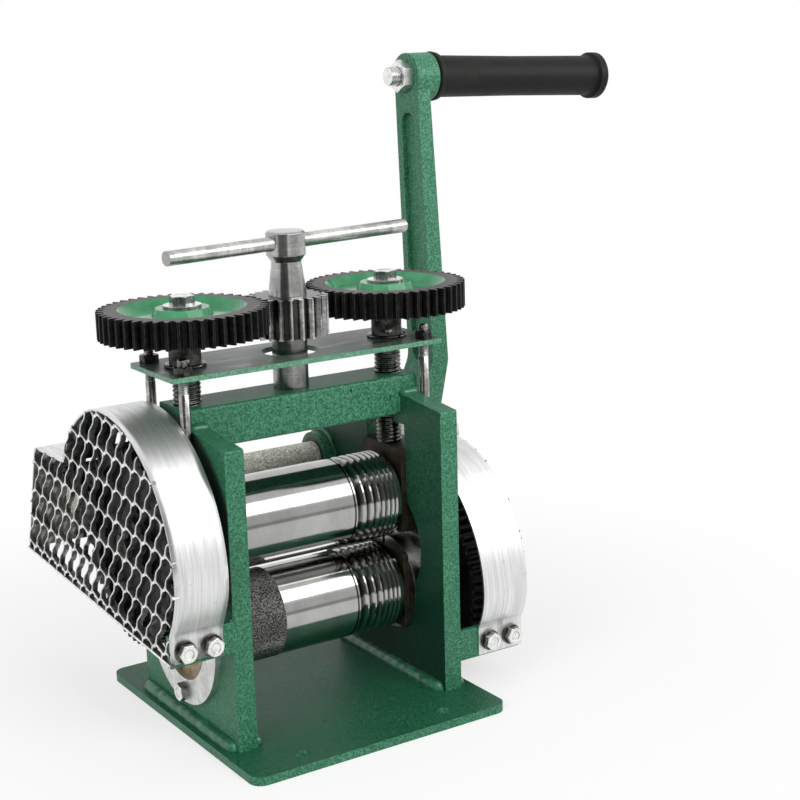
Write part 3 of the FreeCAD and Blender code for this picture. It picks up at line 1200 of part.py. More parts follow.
def build():
    pinion_phase, upper_phase, idler_phase, lower_phase = drive_phases()
    screw_phase = 0.0
    right_phase = mesh_phase(SPINDLE_PINION_TEETH, screw_phase, 0.0, SCREW_GEAR_TEETH)
    left_phase = mesh_phase(SPINDLE_PINION_TEETH, screw_phase, math.pi, SCREW_GEAR_TEETH)
    frame = side_frame()
    left_outline = left_guard_outline()
    right_outline = right_guard_outline()
    right_mesh_x = RIGHT_BAND_OUTER_X
    left_mesh = other_side(guard_mesh(left_outline, LEFT_BAND_OUTER_X, LEFT_BAND_OUTER_X + GUARD_MESH_THICK))
    right_mesh = guard_mesh(right_outline, right_mesh_x, right_mesh_x + GUARD_MESH_THICK)
    shaft_pass = rod_x(CROSS_SHAFT_Y, CROSS_SHAFT_Z, SHAFT_PASS_R, right_mesh_x - 1, right_mesh_x + 2)
    left_band = guard_band(left_outline, BAND_INNER_X, LEFT_BAND_OUTER_X)
    left_band = band_bolt_holes(left_band, LEFT_BAND_OUTER_X, LEFT_TAB_BOTTOM_Z)
    right_band = guard_band(right_outline, RIGHT_BAND_INNER_X, right_mesh_x)
    right_band = band_bolt_holes(right_band, right_mesh_x, RIGHT_TAB_BOTTOM_Z)
    left_valley = len(left_outline) - 3
    left_rear_tab = other_side(rear_tab(left_outline, left_valley, LEFT_REAR_TAB_REACH, LEFT_BAND_OUTER_X))
    arch_end = 3 + RIGHT_ARCH_STEPS - 1
    right_rear_tab = rear_tab(right_outline, arch_end, RIGHT_REAR_TAB_REACH, right_mesh_x)
    return {
        "base_plate": [base_plate()],
        "side_frame_left": [other_side(frame)],
        "side_frame_right": [frame.cut(idler_stud_hole())],
        "top_beam": [top_beam()],
        "lower_bearing_rings": [lower_ring(), other_side(lower_ring())],
        "lower_bearing_left": [other_side(lower_block())],
        "lower_bearing_right": [lower_block()],
        "keeper_plates": [keeper_plate(), other_side(keeper_plate())],
        "keeper_bolts": keeper_bolts() + [other_side(bolt) for bolt in keeper_bolts()],
        "shaft_bosses": [shaft_boss(), other_side(shaft_boss())],
        "shaft_bushes": [shaft_bush(), other_side(shaft_bush())],
        "idler_stud": [idler_stud()],
        "idler_fasteners": idler_fasteners(),
        "guard_band_left": [other_side(left_band)],
        "guard_band_right": [right_band],
        "guard_mesh_left": [left_mesh],
        "guard_mesh_right": [right_mesh.cut(shaft_pass)],
        "guard_tabs_left": [front_tab(-1, LEFT_BAND_OUTER_X, LEFT_TAB_BOTTOM_Z), left_rear_tab],
        "guard_tabs_right": [front_tab(1, right_mesh_x, RIGHT_TAB_BOTTOM_Z), right_rear_tab],
        "guard_bolts_left": front_bolts(-1, LEFT_BAND_OUTER_X, LEFT_TAB_BOTTOM_Z),
        "guard_bolts_right": front_bolts(1, right_mesh_x, RIGHT_TAB_BOTTOM_Z),
        "cross_shaft": [cross_shaft()],
        "drive_pinion_left": [drive_pinion(-1, pinion_phase)],
        "drive_pinion_right": [drive_pinion(1, pinion_phase)],
        "pinion_set_screws": [pinion_screw(-1, 0), pinion_screw(1, 0)],
        "crank_shaft_keys": [pinion_key(-1, 0), pinion_key(1, 0), crank_key(0)],
        "crank_arm": [crank_arm()],
        "crank_hub_fasteners": hub_fasteners(),
        "grip_spindle": [grip_spindle()],
        "grip_fasteners": grip_fasteners(),
        "grip_sleeve": [grip_sleeve()],
        "idler_gear": [idler_gear(idler_phase)],
        "lower_roll": [roll(LOWER_ROLL_Z, 1)],
        "lower_roll_gear": [roll_gear(LOWER_ROLL_Z, 1, lower_phase)],
        "lower_roll_key": [roll_key(LOWER_ROLL_Z, 1, 0)],
        "lower_roll_end_bolt": [end_bolt(LOWER_ROLL_Z, 1), end_washer(LOWER_ROLL_Z, 1)],
        "upper_block_left": [other_side(upper_block())],
        "upper_block_right": [upper_block()],
        "lift_bar_left": [other_side(lift_bar())],
        "lift_bar_right": [lift_bar()],
        "lift_bar_bolts": lift_bar_bolts(),
        "lift_rods": lift_rods(),
        "lift_rod_nuts": lift_rod_nuts(),
        "lift_plate": [lift_plate()],
        "upper_roll_bushes": [upper_bush(), other_side(upper_bush())],
        "upper_roll": [roll(UPPER_ROLL_Z, -1)],
        "upper_roll_gear": [roll_gear(UPPER_ROLL_Z, -1, upper_phase)],
        "upper_roll_key": [roll_key(UPPER_ROLL_Z, -1, 0)],
        "upper_roll_end_bolt": [end_bolt(UPPER_ROLL_Z, -1), end_washer(UPPER_ROLL_Z, -1)],
        "pressure_screw_left": [pressure_screw(-SCREW_X), snap_ring(-SCREW_X)],
        "pressure_screw_right": [pressure_screw(SCREW_X), snap_ring(SCREW_X)],
        "screw_gear_left": [screw_gear(-SCREW_X, left_phase)],
        "screw_gear_right": [screw_gear(SCREW_X, right_phase)],
        "screw_gear_bolt_left": [screw_gear_bolt(-SCREW_X), screw_gear_washer(-SCREW_X)],
        "screw_gear_bolt_right": [screw_gear_bolt(SCREW_X), screw_gear_washer(SCREW_X)],
        "spindle_post": [spindle_post()],
        "spindle_pinion": [spindle_pinion(screw_phase)],
        "tee_head": [tee_head()],
        "tommy_bar": [tommy_bar_shape(TOMMY_BAR_R)],
    }


def write_parts(nodes):
    os.makedirs("parts", exist_ok=True)
    for name, solids in nodes.items():
        shape = solids[0] if len(solids) == 1 else Part.makeCompound(solids)
        shape.exportStep("parts/" + name + ".step")


write_parts(build())
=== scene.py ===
import math
import random

import bmesh
import bpy
from mathutils import Matrix, Vector, noise


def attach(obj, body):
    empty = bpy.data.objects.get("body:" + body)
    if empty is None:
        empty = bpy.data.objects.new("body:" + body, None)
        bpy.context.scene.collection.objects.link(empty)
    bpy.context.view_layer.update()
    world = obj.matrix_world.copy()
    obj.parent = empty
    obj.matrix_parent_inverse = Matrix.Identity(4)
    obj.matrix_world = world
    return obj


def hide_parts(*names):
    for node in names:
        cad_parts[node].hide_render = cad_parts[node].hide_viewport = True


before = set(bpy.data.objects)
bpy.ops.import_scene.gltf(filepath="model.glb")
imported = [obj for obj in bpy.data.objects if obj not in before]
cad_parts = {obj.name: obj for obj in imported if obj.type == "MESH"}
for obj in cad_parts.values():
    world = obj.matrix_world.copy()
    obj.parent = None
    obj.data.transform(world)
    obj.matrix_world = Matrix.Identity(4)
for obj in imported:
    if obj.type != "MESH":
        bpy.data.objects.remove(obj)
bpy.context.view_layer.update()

MM = 0.001
RANDOM_SEED = 7

# ---- camera, millimetres and radians ----
CAMERA_PLACE = (-465.5, -830.9, 411.4)
CAMERA_YAW = -0.579
CAMERA_PITCH = 0.231
CAMERA_ROLL = -0.026
CAMERA_LENS = 72.94
SENSOR_WIDTH = 36.0

# ---- stage, metres ----
WHITE = (1.0, 1.0, 1.0, 1.0)
WORLD_LEVEL = 0.30
PAPER = (0.86, 0.87, 0.85)
WHITE_FROM = (0.12, 0.52)
WHITE_NEAR = 0.66
FLOOR_HALF_SIZE = 9
ROLL_FLAG_X = (-0.1, 3.2)

# ---- rolls ----
LOWER_ROLL_Z = 60.7
UPPER_ROLL_Z = 120.5
ROLL_R = 27.5
KNURL_START_X = -59.2
KNURL_END_X = -25.0
KNURL_PITCH = 0.95
KNURL_HEIGHT = 0.26
KNURL_LIFT = 0.02

# ---- frame and beam ----
FRAME_INNER_X = 66.0
FRAME_OUTER_X = 78.0
BASE_TOP_Z = 5.2
FOOT_HALF_Y = 59.0
FOOT_BEAD_R = 4.8
BEAM_HALF_Y = 17.0
NOTCH_TOP_Z = 187.3
SHAFT_AXIS = (77.589, 128.5)
SHAFT_BOSS_R = 16.0
SHAFT_PASS_R = 14.0
TAB_HEIGHT = 19.5
LEFT_TAB_Z = 65.0
RIGHT_TAB_Z = 22.5

# ---- pressure screws, plate and rods ----
SCREW_X = 69.0
SCREW_R = 8.3
SCREW_NECK_R = 6.5
SCREW_BOTTOM_Z = 153.15
SCREW_SHOULDER_Z = 217.2
SCREW_TOP_Z = 254.0
SCREW_LEAD = 2.5
THREAD_DEPTH = 0.85
SNAP_RING_R = 12.3
SNAP_RING_Z = (220.4, 222.0)
PLATE_TOP_Z = 220.3
ROD_R = 3.0
ROD_PLACES = [(x, y) for x in (-81.5, 81.5) for y in (-22.0, 22.0)]
ROD_BOTTOM_Z = 140.5
ROD_THREAD_Z = 209.0
ROD_TOP_Z = 229.3
ROD_THREAD_DEPTH = 0.45
ROD_THREAD_LEAD = 1.0
ROD_NUT_HEIGHT = 5.0
GEAR_TOP_Z = 254.6
GEAR_RECESS_R = 37.0
GEAR_RECESS_FLOOR_Z = 250.0
GEAR_SLEEVE_R = 9.35
SLEEVE_SCREW_Z = 224.6
SLEEVE_SCREW_TURN = -113
SLEEVE_SCREW_SECTION = [(2.1, 0), (2.1, 0.95), (1.85, 1.35), (1.2, 1.6), (0.5, 1.68)]
PINION_GAP_R = 21.0

# ---- fasteners: a head is its width across flats and height, a washer its bore and rim radius ----
M6 = (10.0, 4.2)
M8 = (13.0, 5.3)
M12 = (19.0, 6.8)
M16 = (24.0, 12.0)
M6_R = 3.0
M8_R = 4.0
HEAD_STEPS = 72
HEAD_OVERLAP = 0.2
NUT_PLAY = 0.02
WASHER_THICK = 1.6
GEAR_WASHER = (4.3, 11.2)
GEAR_BOLT_DEPTH = 14.0
GUARD_WASHER = (3.1, 6.5)
GUARD_BOLT_DEPTH = 6.1
BAND_FACE_Y = -62.2
LEFT_BOLTS = [(-92.4, 74.75), (-108.9, 74.75)]
RIGHT_BOLTS = [(99.0, 32.25), (115.5, 32.25)]
KEEPER_FACE_X = 82.0
KEEPER_BOLT_CIRCLE_R = 37.5
KEEPER_BOLT_DEPTH = 12.9
HUB_WASHER = (153.0, 15.0, 2.0)
SHAFT_THREAD_R = 8.0
GRIP_PIVOT = (165.4, 90.5, 373.0)
GRIP_DROOP = 2.0
GRIP_NUT_X = 147.55
GRIP_THREAD_R = 6.0
GRIP_THREAD_END_X = 133.85
GRIP_THREAD_DEPTH = 0.6
GRIP_THREAD_LEAD = 1.75
GRIP_WASHER_X = 310.3
GRIP_WASHER = (2.6, 11.0)
GRIP_WASHER_THICK = 1.2
GRIP_SCREW = (6.9, 2.8)
GRIP_SCREW_R = 2.5
GRIP_SCREW_DEPTH = 12.2

# ---- weld beads ----
BEAD_SIDES = 14
BEAD_STEPS = 48
LUMP_SIZE = 7.0

# ---- guards: (y, z) outlines; the left one has a valley that the frame's band hasn't ----
ARCH_R = 85.0
ARCH_START = 176.0
LEFT_ARCH = (12.0, 113.5)
LEFT_ARCH_END = 78.0
LEFT_ARCH_BACK = [(39.5, 193.0), (51.0, 186.6), (61.0, 178.6), (68.8, 169.5), (74.6, 160.0)]
LEFT_VALLEY = (77.2, 155.2)
LEFT_TAIL_TOP = (125.4, 154.3)
LEFT_TAIL_TIP = (148.2, 82.0)
LEFT_BAND_BOTTOM_Z = 68.4
LEFT_FRONT = [(BAND_FACE_Y, LEFT_BAND_BOTTOM_Z), (BAND_FACE_Y, 84.0), (-73.8, 105.4)]
LEFT_BAND_X = (-117.4, -85.0)
LEFT_TAB_X = (-117.2, -78.0)
SHEET_THICK = 1.2
HOLLOW_DEPTH = 0.12
HOLLOW_SIZE = 24
TAB_THICK = 4.0
TAB_GAP = 0.5
REAR_TAB_SPAN = (46.0, 66.0)
RIGHT_ARCH = (16.0, 62.5)
RIGHT_ARCH_END = 100.24
RIGHT_LOBE_R = 31.0
RIGHT_LOBE_END = 1.47
RIGHT_FRONT = [(BAND_FACE_Y, 23.5), (BAND_FACE_Y, 41.5), (-69.8, 54.5)]
RIGHT_TAIL = [(110.0, 74.0), (108.0, 40.0)]
BEND_R = 10.0
FRONT_CORNER_R = 48.0
LEFT_PANEL_X = -117.9
RIGHT_PANEL_X = 124.5
PANEL_MIDDLE = (0, 20.0, 110.0)

# ---- expanded metal cell, (y, z) in the guard's plane ----
MESH_ORIGIN = (52.3, 156.9)
MESH_END_Y = 147.2
MESH_ROW_STEP = (-12.6, -0.85)
MESH_COLUMN_STEP = (-2.2, 19.2)
MESH_ORIGIN_ROW = 7
MESH_ROWS = range(-2, 12)
MESH_COLUMNS = range(-24, 25)
MESH_S_STRAND = [(0, 0), (0.4, -2.1), (1.5, -4.6), (4.6, -7.5), (7.3, -9.9), (8.6, -12.4),
                 (9.3, -14.4), (10.1, -16.2)]
MESH_LINK = [(0, 0), (-2.6, 0.8), (-4.7, 2.15)]
MESH_ARC = [(-4.7, 2.15), (-9.2, 1.55), (-11.7, 0.35), (-12.6, -0.85)]
MESH_NODES = [(0, 0), (-2.35, 1.0), (-4.7, 2.15), (10.1, -16.2), (-12.6, -0.85)]
NODE_REACH = 2.6
STRAND_WIDTH = 1.02
NODE_WIDENING = 1.8
STRAND_DEPTH = 2.9
RIM_HALF_WIDTH = 0.8
RIM_DEPTH = 2.6


# ---- node helpers ----

class Nodes:
    """A node tree, with short calls for adding and linking its nodes."""

    def __init__(self, holder, output):
        holder.use_nodes = True
        self.tree = holder.node_tree
        self.tree.nodes.clear()
        self.out = self.tree.nodes.new(output)

    def add(self, kind, settings=None, **inputs):
        node = self.tree.nodes.new("ShaderNode" + kind)
        for key, value in (settings or {}).items():
            setattr(node, key, value)
        for key, value in inputs.items():
            self.put(node.inputs[key.replace("_", " ")], value)
        return node

    def put(self, socket, value):
        if isinstance(value, bpy.types.NodeSocket):
            self.tree.links.new(value, socket)
        else:
            socket.default_value = value

    def math(self, operation, *values):
        node = self.tree.nodes.new("ShaderNodeMath")
        node.operation = operation
        for socket, value in zip(node.inputs, values):
            self.put(socket, value)
        return node.outputs[0]

    def times(self, a, b):
        return self.math("MULTIPLY", a, b)

    def opposite(self, value):
        """1 minus the value."""
        return self.math("SUBTRACT", 1.0, value)

    def mix_shaders(self, factor, a, b):
        node = self.add("MixShader")
        for socket, value in zip(node.inputs, (factor, a.outputs[0], b.outputs[0])):
            self.put(socket, value)
        return node

    def seen_or_mirrored(self):
        """1 for the camera's own rays and for rays off shiny surfaces."""
        rays = self.add("LightPath").outputs
        return self.math("MAXIMUM", rays["Is Camera Ray"], rays["Is Glossy Ray"])

    def end(self, shader):
        self.tree.links.new(shader.outputs[0], self.out.inputs["Surface"])


class Finish(Nodes):
    """One material's nodes, with short calls for what the finishes share."""

    def __init__(self, name):
        self.material = bpy.data.materials.new(name)
        super().__init__(self.material, "ShaderNodeOutputMaterial")
        self.place = self.add("TexCoord").outputs["Object"]
        self.colour = None

    def mix(self, factor, a, b):
        node = self.tree.nodes.new("ShaderNodeMix")
        node.data_type = "RGBA"
        self.put(node.inputs[0], factor)
        for index, value in ((6, a), (7, b)):
            self.put(node.inputs[index], rgba(value) if isinstance(value, tuple) else value)
        return node.outputs[2]

    def blend(self, factor, a, b):
        return self.add("MapRange", Value=factor, To_Min=a, To_Max=b).outputs[0]

    def step(self, value, low, high):
        """0 below low, 1 above high, smooth between."""
        settings = {"interpolation_type": "SMOOTHSTEP"}
        return self.add("MapRange", settings, Value=value, From_Min=low, From_Max=high).outputs[0]

    def scaled(self, scale):
        """Object coordinates in metres times a scale for each axis."""
        return self.add("Mapping", Vector=self.place, Scale=scale).outputs[0]

    def noise(self, scale, detail=3.0, rough=0.55, place=None, distortion=0.0):
        node = self.add("TexNoise", Vector=place or self.place, Scale=scale, Detail=detail)
        node.inputs["Roughness"].default_value = rough
        node.inputs["Distortion"].default_value = distortion
        return node.outputs[0]

    def spots(self, low, high, *noise):
        """1 where a noise is high, 0 where it is low."""
        return self.step(self.noise(*noise), low, high)

    def soft_cells(self, scale):
        settings = {"feature": "SMOOTH_F1"}
        return self.add("TexVoronoi", settings, Vector=self.place, Scale=scale).outputs["Distance"]

    def bump(self, height, distance, strength, normal=None):
        node = self.add("Bump", Height=height, Distance=distance, Strength=strength)
        if normal is not None:
            self.put(node.inputs["Normal"], normal)
        return node.outputs[0]

    def soft_edges(self, radius):
        return self.add("Bevel", {"samples": 4}, Radius=radius).outputs[0]

    def grain(self, edge, distance, strength, *noise):
        """A normal with fine relief and softened edges."""
        return self.bump(self.noise(*noise), distance, strength, self.soft_edges(edge))

    def normal_axis(self, axis):
        """The surface normal's component along X, Y or Z."""
        return self.add("SeparateXYZ", Vector=self.add("NewGeometry").outputs["Normal"]).outputs[axis]

    def facing(self, axis):
        """1 where the surface is square to the axis, towards either end."""
        return self.math("ABSOLUTE", self.normal_axis(axis))

    def place_axis(self, axis):
        return self.add("SeparateXYZ", Vector=self.place).outputs[axis]

    def edge_mask(self, radius):
        """1 on sharp edges, 0 on flats."""
        rounded = self.soft_edges(radius)
        true_normal = self.add("NewGeometry").outputs["Normal"]
        dot = self.add("VectorMath", {"operation": "DOT_PRODUCT"})
        self.put(dot.inputs[0], rounded)
        self.put(dot.inputs[1], true_normal)
        return self.step(self.opposite(dot.outputs["Value"]), 0.02, 0.25)

    def axis_distance(self, centre, axis):
        """Distance from a line through centre (metres) along axis X or Z."""
        moved = self.add("VectorMath", {"operation": "SUBTRACT"})
        self.put(moved.inputs[0], self.place)
        self.put(moved.inputs[1], centre)
        flat = self.add("VectorMath", {"operation": "MULTIPLY"})
        self.put(flat.inputs[0], moved.outputs[0])
        self.put(flat.inputs[1], (0, 1, 1) if axis == "X" else (1, 1, 0))
        return self.add("VectorMath", {"operation": "LENGTH"}, Vector=flat.outputs[0]).outputs["Value"]

    def lay(self, mask, tint, share=None):
        """Lays a tint over the colour so far where the mask is 1, at most by the share."""
        amount = mask if share is None else self.times(mask, share)
        self.colour = self.mix(amount, self.colour, tint)

    def edge_wear_and_highlight(self, tint, share, radius, low, high, *noise):
        """Lays a tint on sharp edges, in patches: wear on the metal finishes, a painted highlight on the
        green enamel.
        """
        self.lay(self.times(self.edge_mask(radius), self.spots(low, high, *noise)), tint, share)

    def surface(self, **inputs):
        """Ends the material with the colour so far."""
        shader = self.add("BsdfPrincipled", Base_Color=self.colour)
        for key, value in inputs.items():
            self.put(shader.inputs[key.replace("_", " ")], value)
        self.end(shader)
        return self.material


def rgba(colour):
    return (*colour, 1.0) if len(colour) == 3 else colour


# ---- finishes ----

def hammered_green(name, dark, light):
    """Green hammertone enamel: small dark pits between lighter grains, chipped at the edges; painted shade
    on the base plate's top, the frames' facing sides and behind the gears, and painted highlights along the
    edges.
    """
    f = Finish(name)
    grains = f.noise(900, 2.5, 0.6, None, 0.6)
    pits = f.soft_cells(760)
    speckle = f.step(f.math("ADD", f.times(grains, 0.75), f.times(pits, 0.35)), 0.40, 0.68)
    f.colour = f.mix(speckle, dark, light)
    drifts = f.spots(0.35, 0.7, 22, 3.0)
    f.lay(drifts, (0.014, 0.095, 0.048), 0.30)
    grime = f.spots(0.62, 0.74, 150, 5.0, 0.7)
    f.lay(grime, (0.006, 0.034, 0.020), 0.50)
    # painted shade: upward faces near the floor, the base plate's top, laid darker
    low = f.opposite(f.step(f.place_axis("Z"), 0.006, 0.020))
    flat = f.times(f.step(f.normal_axis("Z"), 0.7, 0.95), f.times(low, 0.72))
    f.lay(flat, (0.004, 0.060, 0.029))
    # painted shade on the frames' facing sides, darkest low down
    f.lay(shaded_inner_faces(f), (0.003, 0.026, 0.014))
    # painted shade on the frame's outer face behind the gears
    f.lay(shaded_behind_gears(f), (0.008, 0.013, 0.010))
    specks = f.spots(0.71, 0.74, 330, 2.0, 0.5)
    f.lay(specks, (0.006, 0.009, 0.008))
    # painted highlight: lighter green along the sharp edges, in patches
    f.edge_wear_and_highlight((0.13, 0.36, 0.23), 0.55, 0.0007, 0.42, 0.64, 300, 3.0)
    chips = f.times(f.edge_mask(0.0012), f.spots(0.58, 0.62, 170, 4.0, 0.75))
    f.lay(chips, (0.008, 0.011, 0.009))
    normal = f.bump(speckle, 0.00009, 0.8, f.soft_edges(0.0005))
    rough = f.blend(speckle, 0.36, 0.54)
    return f.surface(Roughness=rough, Normal=normal, Specular_IOR_Level=0.22,
                     Coat_Weight=0.06, Coat_Roughness=0.22)


def shaded_inner_faces(f):
    """1 on the frames' facing sides, most of it low down: the mask for the painted shade there."""
    across = f.math("ABSOLUTE", f.place_axis("X"))
    after = f.step(across, (FRAME_INNER_X - 0.5) * MM, (FRAME_INNER_X - 0.2) * MM)
    before = f.opposite(f.step(across, (FRAME_INNER_X + 0.2) * MM, (FRAME_INNER_X + 0.5) * MM))
    low = f.opposite(f.step(f.place_axis("Z"), 0.030, 0.150))
    amount = f.math("ADD", 0.62, f.times(low, 0.34))
    upright = f.step(f.facing("X"), 0.80, 0.95)
    return f.times(f.times(after, before), f.times(upright, amount))


def shaded_behind_gears(f):
    """1 on the left frame's outer face and tabs inside the guard, where shade is painted behind the gears.
    """
    across = f.times(f.place_axis("X"), -1.0)
    outer = f.step(across, (FRAME_OUTER_X - 0.5) * MM, (FRAME_OUTER_X - 0.2) * MM)
    far = f.axis_distance((0, LEFT_ARCH[0] * MM, LEFT_ARCH[1] * MM), "X")
    near = f.opposite(f.step(far, 0.0800, 0.0855))
    above = f.step(f.place_axis("Z"), 0.085, 0.100)
    return f.times(f.times(outer, near), f.times(above, 0.88))


def bead_green():
    """Weld beads under a thick, shiny coat of the enamel."""
    f = Finish("weld_bead_enamel")
    spots = f.spots(0.35, 0.68, 150, 3.0)
    f.colour = f.mix(spots, (0.014, 0.098, 0.050), (0.030, 0.155, 0.085))
    specks = f.spots(0.70, 0.73, 300, 3.0, 0.6)
    f.lay(specks, (0.006, 0.012, 0.009))
    normal = f.bump(f.noise(190, 3.0), 0.00020, 0.5)
    return f.surface(Roughness=0.36, Normal=normal, Coat_Weight=0.18, Coat_Roughness=0.16)


def plate_green():
    """The lift plate: the same green, thinner; its top faces a pale grey-green painted reflection, oily and
    smeared.
    """
    f = Finish("oily_green_enamel")
    smear = f.noise(55, 4.0, 0.65, f.scaled((0.4, 2.0, 1.0)), 1.2)
    oily = f.step(smear, 0.44, 0.70)
    on_top = f.step(f.normal_axis("Z"), 0.6, 0.9)
    spots = f.spots(0.35, 0.70, 700, 3.0)
    f.colour = f.mix(spots, (0.046, 0.172, 0.098), (0.118, 0.305, 0.192))
    # painted reflection: the top faces laid pale grey-green, with darker oily smears
    top = f.mix(oily, (0.120, 0.170, 0.140), (0.024, 0.036, 0.028))
    f.lay(on_top, top)
    dirt = f.times(on_top, f.spots(0.62, 0.70, 190, 5.0, 0.75))
    f.lay(dirt, (0.012, 0.012, 0.010))
    normal = f.grain(0.0004, 0.00006, 0.5, 330, 3.0)
    rough = f.blend(oily, 0.42, 0.26)
    return f.surface(Roughness=rough, Normal=normal, Coat_Weight=0.2, Coat_Roughness=0.25)


def gear_finish(name, x):
    """Black cut gear with a scuffed rim; the dished web on top is enamelled bright green."""
    f = Finish(name)
    far = f.axis_distance((x * MM, 0, 0), "Z")
    f.colour = f.mix(f.spots(0.4, 0.7, 260, 4.0, 0.6), (0.002, 0.002, 0.002), (0.007, 0.007, 0.006))
    f.edge_wear_and_highlight((0.190, 0.186, 0.182), 0.85, 0.00032, 0.25, 0.55, 520, 3.0)
    scuffs = f.spots(0.35, 0.68, 850, 3.0, 0.6)
    rim = f.mix(scuffs, (0.070, 0.064, 0.065), (0.135, 0.126, 0.128))
    f.lay(f.step(f.normal_axis("Z"), 0.9, 0.98), rim)
    green = f.mix(f.spots(0.35, 0.65, 75, 3.0), (0.040, 0.215, 0.095), (0.066, 0.290, 0.140))
    inside = f.opposite(f.step(far, (GEAR_RECESS_R - 0.15) * MM, (GEAR_RECESS_R + 0.15) * MM))
    high = f.step(f.place_axis("Z"), (GEAR_RECESS_FLOOR_Z - 1.0) * MM, (GEAR_RECESS_FLOOR_Z - 0.5) * MM)
    painted = f.times(inside, high)
    sleeve = f.opposite(f.step(far, (GEAR_SLEEVE_R + 0.2) * MM, (GEAR_SLEEVE_R + 0.5) * MM))
    oiled = f.mix(f.spots(0.38, 0.66, 170, 4.0, 0.6), (0.020, 0.019, 0.018), (0.150, 0.146, 0.140))
    f.lay(sleeve, oiled)
    f.lay(painted, green)
    rough = f.blend(painted, 0.50, 0.16)
    normal = f.grain(0.0005, 0.00007, 0.5, 300, 3.0)
    return f.surface(Roughness=rough, Normal=normal, Specular_IOR_Level=0.14,
                     Coat_Weight=f.times(painted, 0.30), Coat_Roughness=0.07)


def black_iron(name, dark, light, worn, rough):
    f = Finish(name)
    blotch = f.noise(190, 4.0, 0.6)
    f.colour = f.mix(f.step(blotch, 0.4, 0.7), dark, light)
    f.edge_wear_and_highlight(worn, 0.8, 0.0005, 0.35, 0.65, 360, 3.0)
    normal = f.grain(0.0004, 0.00008, 0.6, 420, 3.0)
    roughness = f.blend(f.noise(220, 3.0), rough, rough * 1.5)
    return f.surface(Roughness=roughness, Normal=normal, Metallic=0.35)


def turned_metal(name, dark, light, rough, axis, grain=1400.0, stain=0.0, gap_radius=0.0, end_shade=0.0):
    """Machined steel with fine turning marks and faint stains; tooth gaps darkened almost to black."""
    f = Finish(name)
    scale = {"X": (1.0, 0.04, 0.04), "Y": (0.04, 1.0, 0.04), "Z": (0.04, 0.04, 1.0)}[axis]
    lines = f.noise(grain, 2.0, 0.5, f.scaled(scale))
    clouds = f.noise(60, 5.0, 0.7)
    f.colour = f.mix(f.step(clouds, 0.32, 0.70), light, dark)
    f.lay(f.step(lines, 0.35, 0.65), dark, 0.35)
    pits = f.spots(0.60, 0.72, 620, 4.0, 0.75)
    f.lay(pits, dark, 0.5)
    if stain:
        spots = f.spots(0.60, 0.72, 120, 5.0, 0.7)
        f.lay(spots, (0.09, 0.070, 0.045), stain)
    # painted shade: faces square to the axis darkened by end_shade
    ends = f.step(f.facing(axis), 0.85, 0.97)
    f.lay(ends, dark, end_shade)
    # the tooth gaps laid almost black
    if gap_radius:
        far = f.axis_distance((0, 0, 0), "Z")
        dark_gaps = f.opposite(f.step(far, (gap_radius - 1.2) * MM, gap_radius * MM))
        f.lay(dark_gaps, (0.010, 0.010, 0.009), 0.92)
    normal = f.bump(lines, 0.00002, 0.6, f.soft_edges(0.0004))
    roughness = f.blend(f.noise(55, 4.0, 0.6), rough * 0.75, rough * 1.3)
    return f.surface(Roughness=roughness, Normal=normal, Metallic=1.0)


def ground_roll(name, axis_z):
    """Hardened roll: finely ground, nearly a mirror; the wire grooves hold dark oil."""
    f = Finish(name)
    lines = f.noise(2600, 2.0, 0.5, f.scaled((1.0, 0.015, 0.015)))
    clouds = f.noise(45, 4.0, 0.6, f.scaled((1.0, 0.5, 0.5)))
    f.colour = f.mix(f.step(clouds, 0.3, 0.7), (0.46, 0.46, 0.445), (0.37, 0.37, 0.36))
    far = f.axis_distance((0, 0, axis_z * MM), "X")
    deep = f.opposite(f.step(far, (ROLL_R - 1.8) * MM, (ROLL_R - 0.5) * MM))
    grooved = f.times(deep, f.step(f.place_axis("X"), 0.0245, 0.0250))
    oil = f.times(grooved, f.blend(f.noise(260, 4.0, 0.7), 0.55, 1.0))
    f.lay(oil, (0.050, 0.046, 0.036))
    lead = f.times(f.step(f.place_axis("X"), 0.0250, 0.0252),
                  f.opposite(f.step(f.place_axis("X"), 0.0262, 0.0264)))
    f.lay(lead, (0.060, 0.055, 0.040), 0.75)
    specks = f.spots(0.76, 0.78, 420, 2.0, 0.5)
    f.lay(specks, (0.05, 0.05, 0.05), 0.7)
    normal = f.bump(lines, 0.000003, 0.5)
    rough = f.blend(f.noise(70, 4.0, 0.6), 0.085, 0.15)
    return f.surface(Roughness=rough, Normal=normal, Metallic=1.0, Anisotropic=0.25)


def knurled_steel():
    """Cut diamonds with painted glints on their points and a little dry grease between them."""
    f = Finish("knurled_steel")
    # painted highlight: bright glints in fine spots over the darker steel
    sparkle = f.spots(0.42, 0.60, 1050, 2.0, 0.6)
    f.colour = f.mix(sparkle, (0.050, 0.049, 0.046), (0.360, 0.355, 0.345))
    clouds = f.spots(0.45, 0.75, 110, 3.0, 0.6)
    f.lay(clouds, (0.050, 0.049, 0.046), 0.22)
    return f.surface(Roughness=f.blend(sparkle, 0.46, 0.30), Metallic=0.9)


def rough_shaft():
    """The cross shaft: bright bar scuffed in every direction, filmed with pale grease."""
    f = Finish("greased_shaft_steel")
    fibres = f.noise(420, 5.0, 0.75, f.scaled((0.6, 1.0, 1.0)), 2.5)
    strands = f.step(fibres, 0.42, 0.62)
    f.colour = f.mix(strands, (0.340, 0.330, 0.280), (0.930, 0.920, 0.830))
    normal = f.bump(fibres, 0.0004, 0.8)
    return f.surface(Roughness=f.blend(strands, 0.55, 0.38), Normal=normal, Metallic=0.25)


